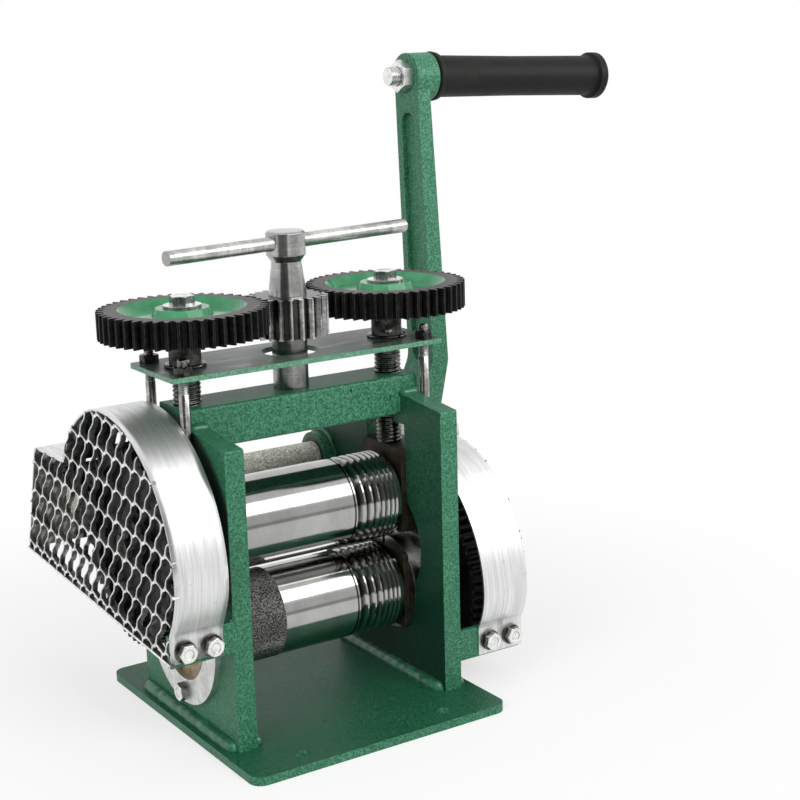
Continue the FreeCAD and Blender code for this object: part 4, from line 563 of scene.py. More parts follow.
def dark_steel(name, dark, light, worn, rough, metallic=1.0):
    f = Finish(name)
    blotch = f.noise(150, 5.0, 0.65)
    f.colour = f.mix(f.step(blotch, 0.40, 0.66), dark, light)
    f.edge_wear_and_highlight(worn, 0.8, 0.0003, 0.30, 0.60, 420, 3.0)
    normal = f.grain(0.0003, 0.00004, 0.5, 650, 3.0)
    roughness = f.blend(blotch, rough * 0.8, rough * 1.3)
    return f.surface(Roughness=roughness, Normal=normal, Metallic=metallic)


def zinc(name, axis, flank_light=0.40, flank_dark=0.14, dirt=0.7):
    """Zinc plated fasteners: painted light on the faces square to the axis, painted shade on the flanks."""
    f = Finish(name)
    clouds = f.noise(260, 4.0, 0.6)
    face = f.mix(f.step(clouds, 0.35, 0.7), (0.90, 0.90, 0.88), (0.70, 0.70, 0.68))
    shaded_flank = f.mix(f.step(clouds, 0.35, 0.7), (flank_light,) * 3, (flank_dark,) * 3)
    # painted light and shade: bright faces square to the axis, darker flanks
    outward = f.step(f.facing(axis), 0.80, 0.95)
    f.colour = f.mix(outward, shaded_flank, face)
    grime = f.spots(0.62, 0.72, 480, 4.0, 0.7)
    f.lay(grime, (0.10, 0.095, 0.085), dirt)
    normal = f.grain(0.00018, 0.00003, 0.6, 700, 3.0)
    return f.surface(Roughness=f.blend(clouds, 0.20, 0.34), Normal=normal, Metallic=0.9)


def brushed_aluminium():
    """Sheet aluminium: brush marks along the strip, scuffs, and small dents shown as painted shade."""
    f = Finish("brushed_aluminium")
    brush = f.noise(1100, 3.0, 0.6, f.scaled((1.0, 0.035, 0.035)), 0.3)
    broad = f.noise(230, 4.0, 0.65, f.scaled((1.0, 0.06, 0.06)), 0.5)
    marks = f.math("ADD", f.times(brush, 0.5), f.times(broad, 0.5))
    f.colour = f.mix(f.step(marks, 0.36, 0.62), (0.86, 0.865, 0.86), (0.66, 0.665, 0.66))
    # painted shade: darker spots standing for small dents
    dent_shade = f.spots(0.68, 0.74, 200, 3.0, 0.6, f.scaled((1.0, 0.5, 0.5)))
    f.lay(dent_shade, (0.40, 0.40, 0.39), 0.4)
    scratch = f.spots(0.675, 0.70, 130, 4.0, 0.8, f.scaled((2.2, 0.5, 0.5)), 2.2)
    f.lay(scratch, (0.30, 0.30, 0.29), 0.5)
    normal = f.bump(marks, 0.00003, 0.6, f.soft_edges(0.0002))
    rough = f.blend(marks, 0.36, 0.52)
    return f.surface(Roughness=rough, Normal=normal, Metallic=1.0)


def mesh_aluminium():
    """Expanded metal: pale cut faces, the strands' deep sides in painted shade, greasy patches over both.
    """
    f = Finish("expanded_aluminium")
    outward = f.step(f.facing("X"), 0.45, 0.75)
    grime = f.spots(0.42, 0.70, 210, 4.0, 0.65)
    face = f.mix(grime, (0.88, 0.885, 0.875), (0.60, 0.60, 0.59))
    # painted shade: the same metal laid darker on the strands' deep sides
    side = f.mix(grime, (0.300, 0.302, 0.295), (0.080, 0.081, 0.078))
    f.colour = f.mix(outward, side, face)
    normal = f.bump(f.noise(620, 3.0), 0.00008, 0.6)
    return f.surface(Roughness=f.blend(grime, 0.34, 0.48), Normal=normal, Metallic=0.85)


def bearing_steel():
    """Bearing rings: turned steel inside, a tan varnish on the covered outer faces."""
    f = Finish("varnished_bearing_steel")
    blotch = f.noise(140, 5.0, 0.65)
    steel = f.mix(f.step(blotch, 0.35, 0.70), (0.48, 0.48, 0.465), (0.22, 0.22, 0.21))
    tan = f.mix(f.step(blotch, 0.35, 0.70), (0.420, 0.330, 0.190), (0.160, 0.115, 0.060))
    covered = f.opposite(f.step(f.place_axis("X"), -0.0745, -0.0735))
    f.colour = f.mix(covered, steel, tan)
    normal = f.bump(blotch, 0.00008, 0.5, f.soft_edges(0.0004))
    return f.surface(Roughness=f.blend(blotch, 0.26, 0.42), Normal=normal,
                     Metallic=f.blend(covered, 1.0, 0.2))


def greasy_sheet():
    """The guards' inside: aluminium dulled by gear grease."""
    f = Finish("greasy_sheet_inside")
    smear = f.spots(0.38, 0.68, 90, 4.0, 0.65)
    f.colour = f.mix(smear, (0.150, 0.150, 0.142), (0.035, 0.035, 0.032))
    return f.surface(Roughness=f.blend(smear, 0.50, 0.34), Metallic=0.6,
                     Normal=f.bump(smear, 0.00005, 0.5))


def dull_bronze(name, dark, light, rough):
    f = Finish(name)
    blotch = f.noise(115, 5.0, 0.65)
    f.colour = f.mix(f.step(blotch, 0.35, 0.68), dark, light)
    f.lay(f.edge_mask(0.0006), tuple(min(1.0, 1.9 * c) for c in light), 0.6)
    normal = f.grain(0.0005, 0.00010, 0.6, 380, 4.0)
    return f.surface(Roughness=f.blend(blotch, rough, rough * 1.5), Normal=normal, Metallic=0.6)


def black_rubber():
    f = Finish("moulded_black_rubber")
    dust = f.spots(0.46, 0.75, 70, 5.0, 0.65)
    f.colour = f.mix(dust, (0.005, 0.006, 0.005), (0.013, 0.014, 0.012))
    normal = f.grain(0.0008, 0.00012, 0.7, 620, 4.0, 0.65)
    return f.surface(Roughness=f.blend(dust, 0.52, 0.70), Normal=normal,
                     Specular_IOR_Level=0.17)


# ---- mesh helpers ----

def placed(name, data):
    """An object for the data, linked into the scene."""
    made = bpy.data.objects.new(name, data)
    bpy.context.scene.collection.objects.link(made)
    return made


def new_piece(name, mesh_builder, material, body, smooth):
    """Makes an object from a bmesh in millimetres; it rides on a body of the frame."""
    bm = bmesh.new()
    mesh_builder(bm)
    bmesh.ops.recalc_face_normals(bm, faces=bm.faces)
    bmesh.ops.scale(bm, verts=bm.verts, vec=(MM, MM, MM))
    mesh = bpy.data.meshes.new(name)
    bm.to_mesh(mesh)
    bm.free()
    for polygon in mesh.polygons:
        polygon.use_smooth = smooth
    mesh.materials.append(material)
    piece = placed(name, mesh)
    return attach(piece, body)


def standing_for(node, name, mesh_builder, material, body, smooth=True):
    """A detailed piece shown in place of one of the frame's nodes."""
    piece = new_piece(name, mesh_builder, material, body, smooth)
    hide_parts(node)
    return piece


def extra_piece(name, mesh_builder, material, body, smooth=True):
    """A small piece that the frame doesn't have, with the given finish."""
    piece = new_piece(name, mesh_builder, material, body, smooth)


def smooth_path(points, steps):
    """Catmull-Rom curve through the points."""
    vectors = [Vector(p) for p in points]
    padded = [2 * vectors[0] - vectors[1]] + vectors + [2 * vectors[-1] - vectors[-2]]
    path = []
    for i in range(1, len(padded) - 2):
        a, b, c, d = padded[i - 1:i + 3]
        for k in range(steps):
            t = k / steps
            path.append(0.5 * (2 * b + (c - a) * t + (2 * a - 5 * b + 4 * c - d) * t * t
                               + (3 * b - a - 3 * c + d) * t ** 3))
    path.append(vectors[-1])
    return path


def join_rings(bm, rings, close_ends=True):
    count = len(rings[0])
    for a, b in zip(rings, rings[1:]):
        for k in range(count):
            bm.faces.new((a[k], a[(k + 1) % count], b[(k + 1) % count], b[k]))
    if close_ends:
        bm.faces.new(rings[0])
        bm.faces.new(rings[-1])


def sweep(bm, path, sections):
    """Joins one ring of points for each path point; sections gives the ring's offsets."""
    join_rings(bm, [[bm.verts.new(point + offset) for offset in sections(i)]
                    for i, point in enumerate(path)])


def axes_about(axis):
    """Two directions square to an axis letter, then the axis itself, in right-handed order."""
    x, y, z = Vector((1, 0, 0)), Vector((0, 1, 0)), Vector((0, 0, 1))
    return {"X": (y, z, x), "Y": (z, x, y), "Z": (x, y, z)}[axis]


def ring_at(bm, origin, axis, height, reach, steps):
    """Ring of points about an axis; height and reach are numbers, or functions of the turn."""
    side, other, along = axes_about(axis)
    height_of = height if callable(height) else lambda turn: height
    reach_of = reach if callable(reach) else lambda turn: reach
    ring = []
    for k in range(steps):
        turn = 2 * math.pi * k / steps
        outward = side * math.cos(turn) + other * math.sin(turn)
        ring.append(bm.verts.new(Vector(origin) + along * height_of(turn) + reach_of(turn) * outward))
    return ring


def turned_rings(bm, origin, axis, section, steps):
    """One ring for each (radius, height) of a turned piece's section."""
    return [ring_at(bm, origin, axis, height, radius, steps) for radius, height in section]


def washer(bm, origin, axis, inner, outer, thick, steps=40):
    """Flat ring with slightly rounded rims, its lower face at the origin."""
    soft = 0.22
    section = [(inner, 0), (outer - soft, 0), (outer, soft), (outer, thick - soft),
               (outer - soft, thick), (inner, thick)]
    rings = turned_rings(bm, origin, axis, section, steps)
    join_rings(bm, rings + [rings[0]], close_ends=False)


def hexagon_reach(turn, flats, offset):
    """Distance from the centre to a hexagon's side, in the direction turn."""
    sixth = math.pi / 3
    return flats / 2 / math.cos((turn - offset) % sixth - sixth / 2)


def hex_head(bm, origin, axis, flats, height, sign, offset, bore=0.0):
    """Hexagon with the scalloped chamfer of a turned head; a bore makes it a nut."""
    crown = flats / 2 * 0.965
    slope = 0.50

    def side(turn):
        return hexagon_reach(turn, flats, offset)

    def chamfered(turn):
        return sign * (height - max(0.0, side(turn) - crown) * slope)

    top = sign * height
    rings = [ring_at(bm, origin, axis, start, side, HEAD_STEPS) for start in (0.0, chamfered)]
    if bore:
        section = [(crown, top), (bore + 0.5, top), (bore, sign * (height - 0.5)), (bore, 0.0)]
        rings += turned_rings(bm, origin, axis, section, HEAD_STEPS)
        join_rings(bm, rings + [rings[0]], close_ends=False)
        return
    dish = sign * (height - 0.25)
    section = [(crown, top), (crown * 0.62, top), (crown * 0.54, dish)]
    join_rings(bm, rings + turned_rings(bm, origin, axis, section, HEAD_STEPS))


def shank(bm, origin, axis, radius, start, end):
    """Plain cylinder between two heights, its ends chamfered."""
    soft = min(0.3, radius * 0.2)
    rise = math.copysign(soft, end - start)
    section = [(radius - soft, start), (radius, start + rise), (radius, end - rise), (radius - soft, end)]
    join_rings(bm, turned_rings(bm, origin, axis, section, 24))


def bolt(bm, seat, axis, head, radius, depth, sign, turn):
    """Hexagon head on its seat, and the shank that goes down from it."""
    hex_head(bm, seat, axis, *head, sign, turn)
    shank(bm, seat, axis, radius, sign * HEAD_OVERLAP, -sign * depth)


def threaded_rod(bm, origin, axis, crest, depth, lead, start, end, steps=36, rows_per_turn=8):
    """Cut screw thread between two heights, closed at both ends."""
    rows = int((end - start) / lead * rows_per_turn)
    rings = []
    for i in range(rows + 1):
        height = start + (end - start) * i / rows

        def reach(turn):
            phase = (height / lead - turn / (2 * math.pi)) % 1.0
            fade = min(1.0, i / rows_per_turn, (rows - i) / rows_per_turn)
            return crest - depth * max(1 - fade, max(0.0, 1 - abs(phase - 0.5) / 0.42))

        rings.append(ring_at(bm, origin, axis, height, reach, steps))
    join_rings(bm, rings)


def weld_bead(bm, points, radius, ripple=2.3, squash=1.0, wave=0.05, lumps=0.18):
    """Rounded bead along a path, with the ripples and lumps of hand welding."""
    start, end = Vector(points[0]), Vector(points[-1])
    path = smooth_path(points, 4) if len(points) > 2 else [
        start.lerp(end, k / BEAD_STEPS) for k in range(BEAD_STEPS + 1)]
    length = 0.0

    def section(i):
        nonlocal length
        ahead = (path[min(i + 1, len(path) - 1)] - path[max(i - 1, 0)]).normalized()
        if i:
            length += (path[i] - path[i - 1]).length
        up = Vector((0, 0, 1)) if abs(ahead.z) < 0.8 else Vector((1, 0, 0))
        side = ahead.cross(up).normalized()
        over = side.cross(ahead)
        near_end = min((path[i] - path[0]).length, (path[i] - path[-1]).length)
        ends = math.sqrt(max(0.02, 1 - max(0.0, 1 - near_end / radius) ** 2))
        rippled = 1 + wave * math.sin(2 * math.pi * length / ripple)
        lumpy = 1 + lumps * noise.noise(path[i] / LUMP_SIZE)
        size = radius * ends * lumpy * rippled
        return [size * (side * math.cos(a) + over * squash * math.sin(a))
                for a in (2 * math.pi * k / BEAD_SIDES for k in range(BEAD_SIDES))]

    sweep(bm, path, section)


# ---- guards ----

def on_arc(centre, radius, degrees):
    turn = math.radians(degrees)
    return (centre[0] + radius * math.cos(turn), centre[1] + radius * math.sin(turn))


def arc_run(centre, radius, start, stop, steps):
    return [on_arc(centre, radius, start + (stop - start) * k / steps) for k in range(steps + 1)]


def rounded_corner(before, corner, after, radius):
    """Points of the arc that rounds a corner."""
    steps = 5
    here = Vector(corner)
    back, ahead = (Vector(before) - here).normalized(), (Vector(after) - here).normalized()
    half = back.angle(ahead) / 2
    inward = (back + ahead).normalized()
    centre = here + inward * (radius / math.sin(half))
    start = here + back * (radius / math.tan(half)) - centre
    end = here + ahead * (radius / math.tan(half)) - centre
    return [tuple(centre + start.lerp(end, k / steps).normalized() * radius) for k in range(steps + 1)]


def guard_front(bottom, bend, corner, arch):
    """The straight tab, the bend above it and the corner that runs into the arch."""
    start = on_arc(arch, ARCH_R, ARCH_START)
    points = [bottom] + rounded_corner(bottom, bend, corner, BEND_R)
    return points + rounded_corner(bend, corner, start, FRONT_CORNER_R)


def left_outline():
    """The arch, closing in a little at the back, then a valley and the level roof of the tail."""
    points = guard_front(*LEFT_FRONT, LEFT_ARCH)
    points += arc_run(LEFT_ARCH, ARCH_R, ARCH_START, LEFT_ARCH_END, 24)
    closing = [(0, y, z) for y, z in [points[-1]] + LEFT_ARCH_BACK + [LEFT_VALLEY]]
    points += [(p.y, p.z) for p in smooth_path(closing, 3)[1:-1]]
    points += rounded_corner(points[-1], LEFT_VALLEY, LEFT_TAIL_TOP, 3.0)
    points += rounded_corner(LEFT_VALLEY, LEFT_TAIL_TOP, LEFT_TAIL_TIP, 5.0)
    return points + [LEFT_TAIL_TIP]


def right_outline():
    points = guard_front(*RIGHT_FRONT, RIGHT_ARCH)
    points += arc_run(RIGHT_ARCH, ARCH_R, ARCH_START, RIGHT_ARCH_END, 14)
    points += arc_run(SHAFT_AXIS, RIGHT_LOBE_R, RIGHT_ARCH_END, RIGHT_LOBE_END, 12)
    return points + RIGHT_TAIL


def inside(outline, y, z):
    crossings = False
    for (y0, z0), (y1, z1) in zip(outline, outline[1:] + outline[:1]):
        if (z0 > z) != (z1 > z) and y < (y1 - y0) * (z - z0) / (z1 - z0) + y0:
            crossings = not crossings
    return crossings


def strand_runs(points, keep):
    """Splits a path into the runs of points that keep accepts."""
    runs, run = [], []
    for point in points:
        if keep(point):
            run.append(point)
        elif run:
            runs.append(run)
            run = []
    runs.append(run)
    return [r for r in runs if len(r) > 2]


def node_share(y, z):
    """1 on the links where four strands meet, falling to 0 a little way along each strand."""
    return max(0.0, 1 - min(math.hypot(y - a, z - b) for a, b in MESH_NODES) / NODE_REACH)


def expanded_mesh(bm, outline, panel_x, inward, clear_of, rng):
    """S-shaped strands joined in zigzag rows, torn off along the guard's outline."""
    middle = Vector(PANEL_MIDDLE)
    for row in MESH_ROWS:
        for column in MESH_COLUMNS:
            up = row - MESH_ORIGIN_ROW
            y, z = (MESH_ORIGIN[n] + column * MESH_ROW_STEP[n] + up * MESH_COLUMN_STEP[n] for n in (0, 1))
            for shape in (MESH_S_STRAND, MESH_LINK + MESH_ARC[1:]):
                path = smooth_path([(node_share(a, b), y + a, z + b) for a, b in shape], 4)
                torn = rng.uniform(-0.3, 1.2)

                def keep(point):
                    reach = point - middle
                    reach.x = 0
                    nearer = point + reach.normalized() * torn
                    kept = clear_of(point) and point.y < MESH_END_Y
                    return kept and inside(outline, nearer.y, nearer.z)

                for run in strand_runs(path, keep):
                    add_strand(bm, run, panel_x, inward, rng)


def add_strand(bm, run, panel_x, inward, rng):
    """A flat strand standing on edge, a little twisted, its front edge rounded."""
    lean = rng.uniform(-0.22, 0.10)
    plain_half = STRAND_WIDTH / 2 * rng.uniform(0.85, 1.12)
    path = [Vector((panel_x, p.y, p.z)) for p in run]

    def section(i):
        ahead = path[min(i + 1, len(path) - 1)] - path[max(i - 1, 0)]
        across = Vector((0, -ahead.z, ahead.y)).normalized()
        half = plain_half * (1 + (NODE_WIDENING - 1) * run[i].x)
        waver = 0.18 * noise.noise(path[i] * 0.21)
        deep = Vector((inward, 0, 0)) * STRAND_DEPTH + across * (lean + waver) * STRAND_DEPTH
        front = Vector((-inward * 0.5, 0, 0))
        lip = Vector((-inward * 0.15, 0, 0))
        return [lip - across * half, front - across * half * 0.6, front + across * half * 0.6,
                lip + across * half, deep + across * half * 0.8, deep - across * half * 0.8]

    sweep(bm, path, section)


def inward_at(path, i):
    """Unit vector from the sheet's outer surface to its inside at one point of the outline."""
    ahead = path[min(i + 1, len(path) - 1)] - path[max(i - 1, 0)]
    return Vector((0, ahead.z, -ahead.y)).normalized()


def left_band(bm):
    """The rolled sheet along the left outline, with the faint hollows of forming by hand."""
    path = [Vector((0, y, z)) for y, z in left_outline()]
    x0, x1 = LEFT_BAND_X
    places = [x0 + (x1 - x0) * k / 8 for k in range(9)]

    def section(i):
        inward = inward_at(path, i)
        hollow = [HOLLOW_DEPTH * (1 + noise.noise(Vector((x, path[i].y, path[i].z)) / HOLLOW_SIZE))
                  for x in places]
        outer = [Vector((x, 0, 0)) + inward * h for x, h in zip(places, hollow)]
        inner = [Vector((x, 0, 0)) + inward * (SHEET_THICK + h) for x, h in zip(places, hollow)]
        return outer + inner[::-1]

    sweep(bm, path, section)


def finish_inside(piece, material, middle):
    """Gives a second finish to the faces that look towards the middle of the guard."""
    piece.data.materials.append(material)
    for polygon in piece.data.polygons:
        inward = middle - polygon.center
        inward.x = 0
        if abs(polygon.normal.x) < 0.5 and polygon.normal.dot(inward) > 0:
            polygon.material_index = 1


def left_tabs(bm):
    """The drilled front tab and the strip under the arch, both welded to the frame's outer face."""
    x0, x1 = LEFT_TAB_X
    front = BAND_FACE_Y + SHEET_THICK
    low, high = LEFT_BAND_BOTTOM_Z - 2.4, LEFT_TAB_Z + TAB_HEIGHT
    back = front + TAB_THICK
    bar_between(bm, x0, x1, [(front, low), (front, high), (back, high), (back, low)])
    path = [Vector((0, y, z)) for y, z in left_outline()]
    start, end = REAR_TAB_SPAN
    under = [i for i, p in enumerate(path) if start < p.y < end and p.z > LEFT_VALLEY[1] + 4]
    top = [path[i] + inward_at(path, i) * (SHEET_THICK + TAB_GAP) for i in under]
    bottom = [path[i] + inward_at(path, i) * (SHEET_THICK + TAB_GAP + TAB_THICK) for i in under]
    bar_between(bm, x0 + 1.0, x1, [(p.y, p.z) for p in top + bottom[::-1]])


def bar_between(bm, x0, x1, outline):
    """Bar of one section along X."""
    rings = [[bm.verts.new((x, y, z)) for y, z in outline] for x in (x0, x1)]
    join_rings(bm, rings)


def guard_panel(side, outline, panel_x, inward, clear_of):
    """The torn strands of one guard's side; clear_of accepts the points that no shaft passes."""
    rng = random.Random(RANDOM_SEED)
    standing_for("guard_mesh_" + side, "expanded_mesh_" + side,
                 lambda bm: expanded_mesh(bm, outline, panel_x, inward, clear_of, rng),
                 MESH_ALUMINIUM, "frame", smooth=False)


def rim_strip(bm, outline, panel_x, inward):
    """Thin folded edge along the panel's open lower side."""
    (y0, z0), (y1, z1) = outline[-1], outline[0]
    y0 = min(y0, MESH_END_Y + 0.7)
    start, end = Vector((panel_x, y0, z0)), Vector((panel_x, y1, z1))
    across = Vector((0, -(z1 - z0), y1 - y0)).normalized() * RIM_HALF_WIDTH
    path = [start.lerp(end, k / 12) for k in range(13)]
    front, deep = Vector((-inward * 0.5, 0, 0)), Vector((inward * RIM_DEPTH, 0, 0))
    sweep(bm, path, lambda i: [front - across, front + across, deep + across, deep - across])


# ---- rolls and screws ----

def knurl_band(bm):
    """Diamond knurl as rows of small pyramids round the lower roll."""
    around = 4 * int(math.pi * 2 * ROLL_R / KNURL_PITCH / 2)
    length = KNURL_END_X - KNURL_START_X
    along = int(length / (KNURL_PITCH / 2))
    rings = []
    for i in range(along + 1):
        x = KNURL_START_X + length * i / along
        ring = []
        for k in range(around):
            turn = 2 * math.pi * k / around
            top = (i + k) % 2 == 0 and 0 < i < along
            radius = ROLL_R + KNURL_LIFT + (KNURL_HEIGHT if top else 0)
            y, z = radius * math.cos(turn), LOWER_ROLL_Z + radius * math.sin(turn)
            ring.append(bm.verts.new((x, y, z)))
        rings.append(ring)
    for i, (a, b) in enumerate(zip(rings, rings[1:])):
        for k in range(around):
            n = (k + 1) % around
            if (i + k) % 2 == 0:
                bm.faces.new((a[k], a[n], b[k]))
                bm.faces.new((a[n], b[n], b[k]))
            else:
                bm.faces.new((a[k], a[n], b[n]))
                bm.faces.new((a[k], b[n], b[k]))


def pressure_screw(bm, x):
    """Threaded screw with its plain neck."""
    threaded_rod(bm, (x, 0, 0), "Z", SCREW_R, THREAD_DEPTH, SCREW_LEAD, SCREW_BOTTOM_Z,
                 SCREW_SHOULDER_Z, steps=48)
    shank(bm, (x, 0, 0), "Z", SCREW_NECK_R, SCREW_SHOULDER_Z - 0.5, SCREW_TOP_Z)
    low, high = SNAP_RING_Z
    washer(bm, (x, 0, low), "Z", SCREW_NECK_R + 0.05, SNAP_RING_R, high - low)


def lift_rods(bm):
    for x, y in ROD_PLACES:
        shank(bm, (x, y, 0), "Z", ROD_R, ROD_BOTTOM_Z, ROD_THREAD_Z + 0.5)
        threaded_rod(bm, (x, y, 0), "Z", ROD_R, ROD_THREAD_DEPTH, ROD_THREAD_LEAD, ROD_THREAD_Z, ROD_TOP_Z,
                     steps=20, rows_per_turn=6)


def lift_rod_nuts(bm):
    for k, (x, y) in enumerate(ROD_PLACES):
        hex_head(bm, (x, y, PLATE_TOP_Z), "Z", M6[0], ROD_NUT_HEIGHT, 1, 0.25 + 0.4 * k,
                 ROD_R + NUT_PLAY)


def gear_bolt(bm, x, turn):
    washer(bm, (x, 0, GEAR_TOP_Z), "Z", *GEAR_WASHER, WASHER_THICK, 48)
    bolt(bm, (x, 0, GEAR_TOP_Z + WASHER_THICK), "Z", M8, M8_R, GEAR_BOLT_DEPTH, 1, turn)


def sleeve_screw(bm, x):
    """Domed grub screw low in the side of the adjusting gear's sleeve."""
    turn = math.radians(SLEEVE_SCREW_TURN)
    out = Vector((math.cos(turn), math.sin(turn), 0))
    centre = Vector((x, 0, SLEEVE_SCREW_Z)) + out * (GEAR_SLEEVE_R - 0.8)
    side = out.cross(Vector((0, 0, 1)))
    rings = []
    for radius, depth in SLEEVE_SCREW_SECTION:
        rings.append([bm.verts.new(centre + out * depth + radius * (
            side * math.cos(a) + Vector((0, 0, 1)) * math.sin(a)))
            for a in (2 * math.pi * k / 24 for k in range(24))])
    join_rings(bm, rings)


# ---- bolts ----

def guard_bolts(bm, places):
    for k, (x, z) in enumerate(places):
        seat = (x, BAND_FACE_Y - WASHER_THICK, z)
        bolt(bm, seat, "Y", M6, M6_R, GUARD_BOLT_DEPTH, -1, 0.2 + 0.35 * k)


def guard_washers(bm, places):
    for x, z in places:
        washer(bm, (x, BAND_FACE_Y - WASHER_THICK, z), "Y", *GUARD_WASHER, WASHER_THICK)


def keeper_bolts(bm):
    for sign in (-1, 1):
        for k in range(3):
            y, z = on_arc((0, LOWER_ROLL_Z), KEEPER_BOLT_CIRCLE_R, -90 + 120 * k)
            seat = (sign * KEEPER_FACE_X, y, z)
            bolt(bm, seat, "X", M6, M6_R, KEEPER_BOLT_DEPTH, sign, 0.3 + 0.5 * k)


def hub_fasteners(bm):
    """Washer and nut on the cross shaft's threaded end."""
    x, outer, thick = HUB_WASHER
    y, z = SHAFT_AXIS
    washer(bm, (x, y, z), "X", SHAFT_THREAD_R + 0.1, outer, thick, 56)
    hex_head(bm, (x + thick, y, z), "X", *M16, 1, 0.0, SHAFT_THREAD_R + NUT_PLAY)


def grip_fasteners(bm):
    """Lock nut and thread inside the arm, and the washer and screw in the grip's outer end."""
    _, y, z = GRIP_PIVOT
    _, nut_height = M12
    hex_head(bm, (GRIP_NUT_X, y, z), "X", *M12, -1, math.pi / 6, GRIP_THREAD_R + NUT_PLAY)
    threaded_rod(bm, (0, y, z), "X", GRIP_THREAD_R + 0.35, GRIP_THREAD_DEPTH, GRIP_THREAD_LEAD,
                 GRIP_THREAD_END_X, GRIP_NUT_X - nut_height + 1.0)
    washer(bm, (GRIP_WASHER_X, y, z), "X", *GRIP_WASHER, GRIP_WASHER_THICK)
    seat = (GRIP_WASHER_X + GRIP_WASHER_THICK, y, z)
    bolt(bm, seat, "X", GRIP_SCREW, GRIP_SCREW_R, GRIP_SCREW_DEPTH, 1, 0.3)
    bmesh.ops.rotate(bm, verts=bm.verts, cent=Vector(GRIP_PIVOT),
                     matrix=Matrix.Rotation(math.radians(GRIP_DROOP), 3, "Y"))


# ---- welds ----

def beam_beads(bm):
    """A bead along each side of the beam on both frames, and a short upright one inside."""
    for x0, x1 in ((-FRAME_OUTER_X, -FRAME_INNER_X), (FRAME_INNER_X, FRAME_OUTER_X)):
        for side in (-1, 1):
            y = side * (BEAM_HALF_Y + 1.0)
            z = NOTCH_TOP_Z - 0.2
            weld_bead(bm, [(x0, y, z), (x1 + 0.5, y, z)], 3.7, ripple=5.0, squash=0.85, wave=0.02)
            x = math.copysign(FRAME_INNER_X - 0.2, x0)
            weld_bead(bm, [(x, y - side * 0.9, 175.0), (x, y - side * 0.9, NOTCH_TOP_Z - 2)], 1.2)


def foot_beads(bm):
    """Thick fillets along both feet of both frames, inside and outside."""
    z = BASE_TOP_Z + 0.9
    for x in (-FRAME_OUTER_X - 1.0, -FRAME_INNER_X + 1.0, FRAME_INNER_X - 1.0, FRAME_OUTER_X + 1.0):
        points = [(x, -FOOT_HALF_Y + 2 * FOOT_HALF_Y * k / 24, z) for k in range(25)]
        weld_bead(bm, points, FOOT_BEAD_R, ripple=9.0, squash=0.95, wave=0.025, lumps=0.10)


def boss_beads(bm):
    """A ring of weld round each cross shaft boss, on the frame's inner face."""
    for x in (-FRAME_INNER_X + 0.6, FRAME_INNER_X - 0.6):
        ring = [on_arc(SHAFT_AXIS, SHAFT_BOSS_R + 0.9, 15 * k) for k in range(25)]
        weld_bead(bm, [(x, y, z) for y, z in ring], 2.0, ripple=2.6)


def tab_beads(bm):
    for x, bottom in ((-FRAME_OUTER_X - 0.3, LEFT_TAB_Z), (FRAME_OUTER_X + 0.3, RIGHT_TAB_Z)):
        top = bottom + TAB_HEIGHT
        weld_bead(bm, [(x, -57.2, bottom + 1), (x, -57.2, top - 1)], 1.5)
        weld_bead(bm, [(x, -60.5, top + 0.2), (x, -57.0, top + 0.4)], 1.3)


# ---- stage ----

def aim_camera():
    data = bpy.data.cameras.new("camera")
    data.sensor_width = SENSOR_WIDTH
    data.lens = CAMERA_LENS
    data.clip_end = 50
    camera = placed("camera", data)
    bpy.context.scene.camera = camera
    ahead = Vector((-math.sin(CAMERA_YAW) * math.cos(CAMERA_PITCH),
                    math.cos(CAMERA_YAW) * math.cos(CAMERA_PITCH), -math.sin(CAMERA_PITCH)))
    level = Vector((math.cos(CAMERA_YAW), math.sin(CAMERA_YAW), 0))
    over = level.cross(ahead)
    right = level * math.cos(CAMERA_ROLL) + over * math.sin(CAMERA_ROLL)
    up = over * math.cos(CAMERA_ROLL) - level * math.sin(CAMERA_ROLL)
    turn = Matrix((right, up, -ahead)).transposed().to_4x4()
    camera.matrix_world = Matrix.Translation(Vector(CAMERA_PLACE) * MM) @ turn


def add_light(name, place, target, size, power):
    data = bpy.data.lights.new(name, "AREA")
    data.shape = "RECTANGLE"
    data.size = data.size_y = size
    data.energy = power
    light = placed(name, data)
    light.visible_glossy = False
    light.location = place
    light.rotation_euler = (Vector(target) - Vector(place)).to_track_quat("-Z", "Y").to_euler()


def only_reflected(piece):
    """Leaves a stage piece to be seen in reflections alone."""
    piece.visible_camera = False
    piece.visible_diffuse = False
    piece.visible_transmission = False
    piece.visible_shadow = False


def flag_material(level):
    material = bpy.data.materials.new("flag_%03d" % round(level * 100))
    n = Nodes(material, "ShaderNodeOutputMaterial")
    n.end(n.add("Emission", Color=WHITE, Strength=level))
    return material


def four_cornered(name, corners, material):
    """A stage piece of one flat face, its corners in metres."""
    mesh = bpy.data.meshes.new(name)
    mesh.from_pydata(corners, [], [(0, 1, 2, 3)])
    mesh.materials.append(material)
    return placed(name, mesh)


def add_flag(name, level, corners):
    """Studio panel that shows in reflections alone."""
    only_reflected(four_cornered(name, corners, flag_material(level)))


def roll_flag(name, level, low, high, distance=1.5):
    """Strip along X that the rolls mirror between two angles up from the front."""
    x0, x1 = ROLL_FLAG_X
    ends = [math.radians(a) for a in (low, high)]
    (y0, z0), (y1, z1) = [(-distance * math.cos(a), 0.09 + distance * math.sin(a)) for a in ends]
    add_flag(name, level, [(x0, y0, z0), (x1, y0, z0), (x1, y1, z1), (x0, y1, z1)])


def upright_flag(name, level, start, end, low, high, distance):
    """Standing strip between two compass angles from the front, positive to the right."""
    (x0, y0), (x1, y1) = [(distance * math.sin(math.radians(a)), -distance * math.cos(math.radians(a)))
                          for a in (start, end)]
    add_flag(name, level, [(x0, y0, low), (x1, y1, low), (x1, y1, high), (x0, y0, high)])


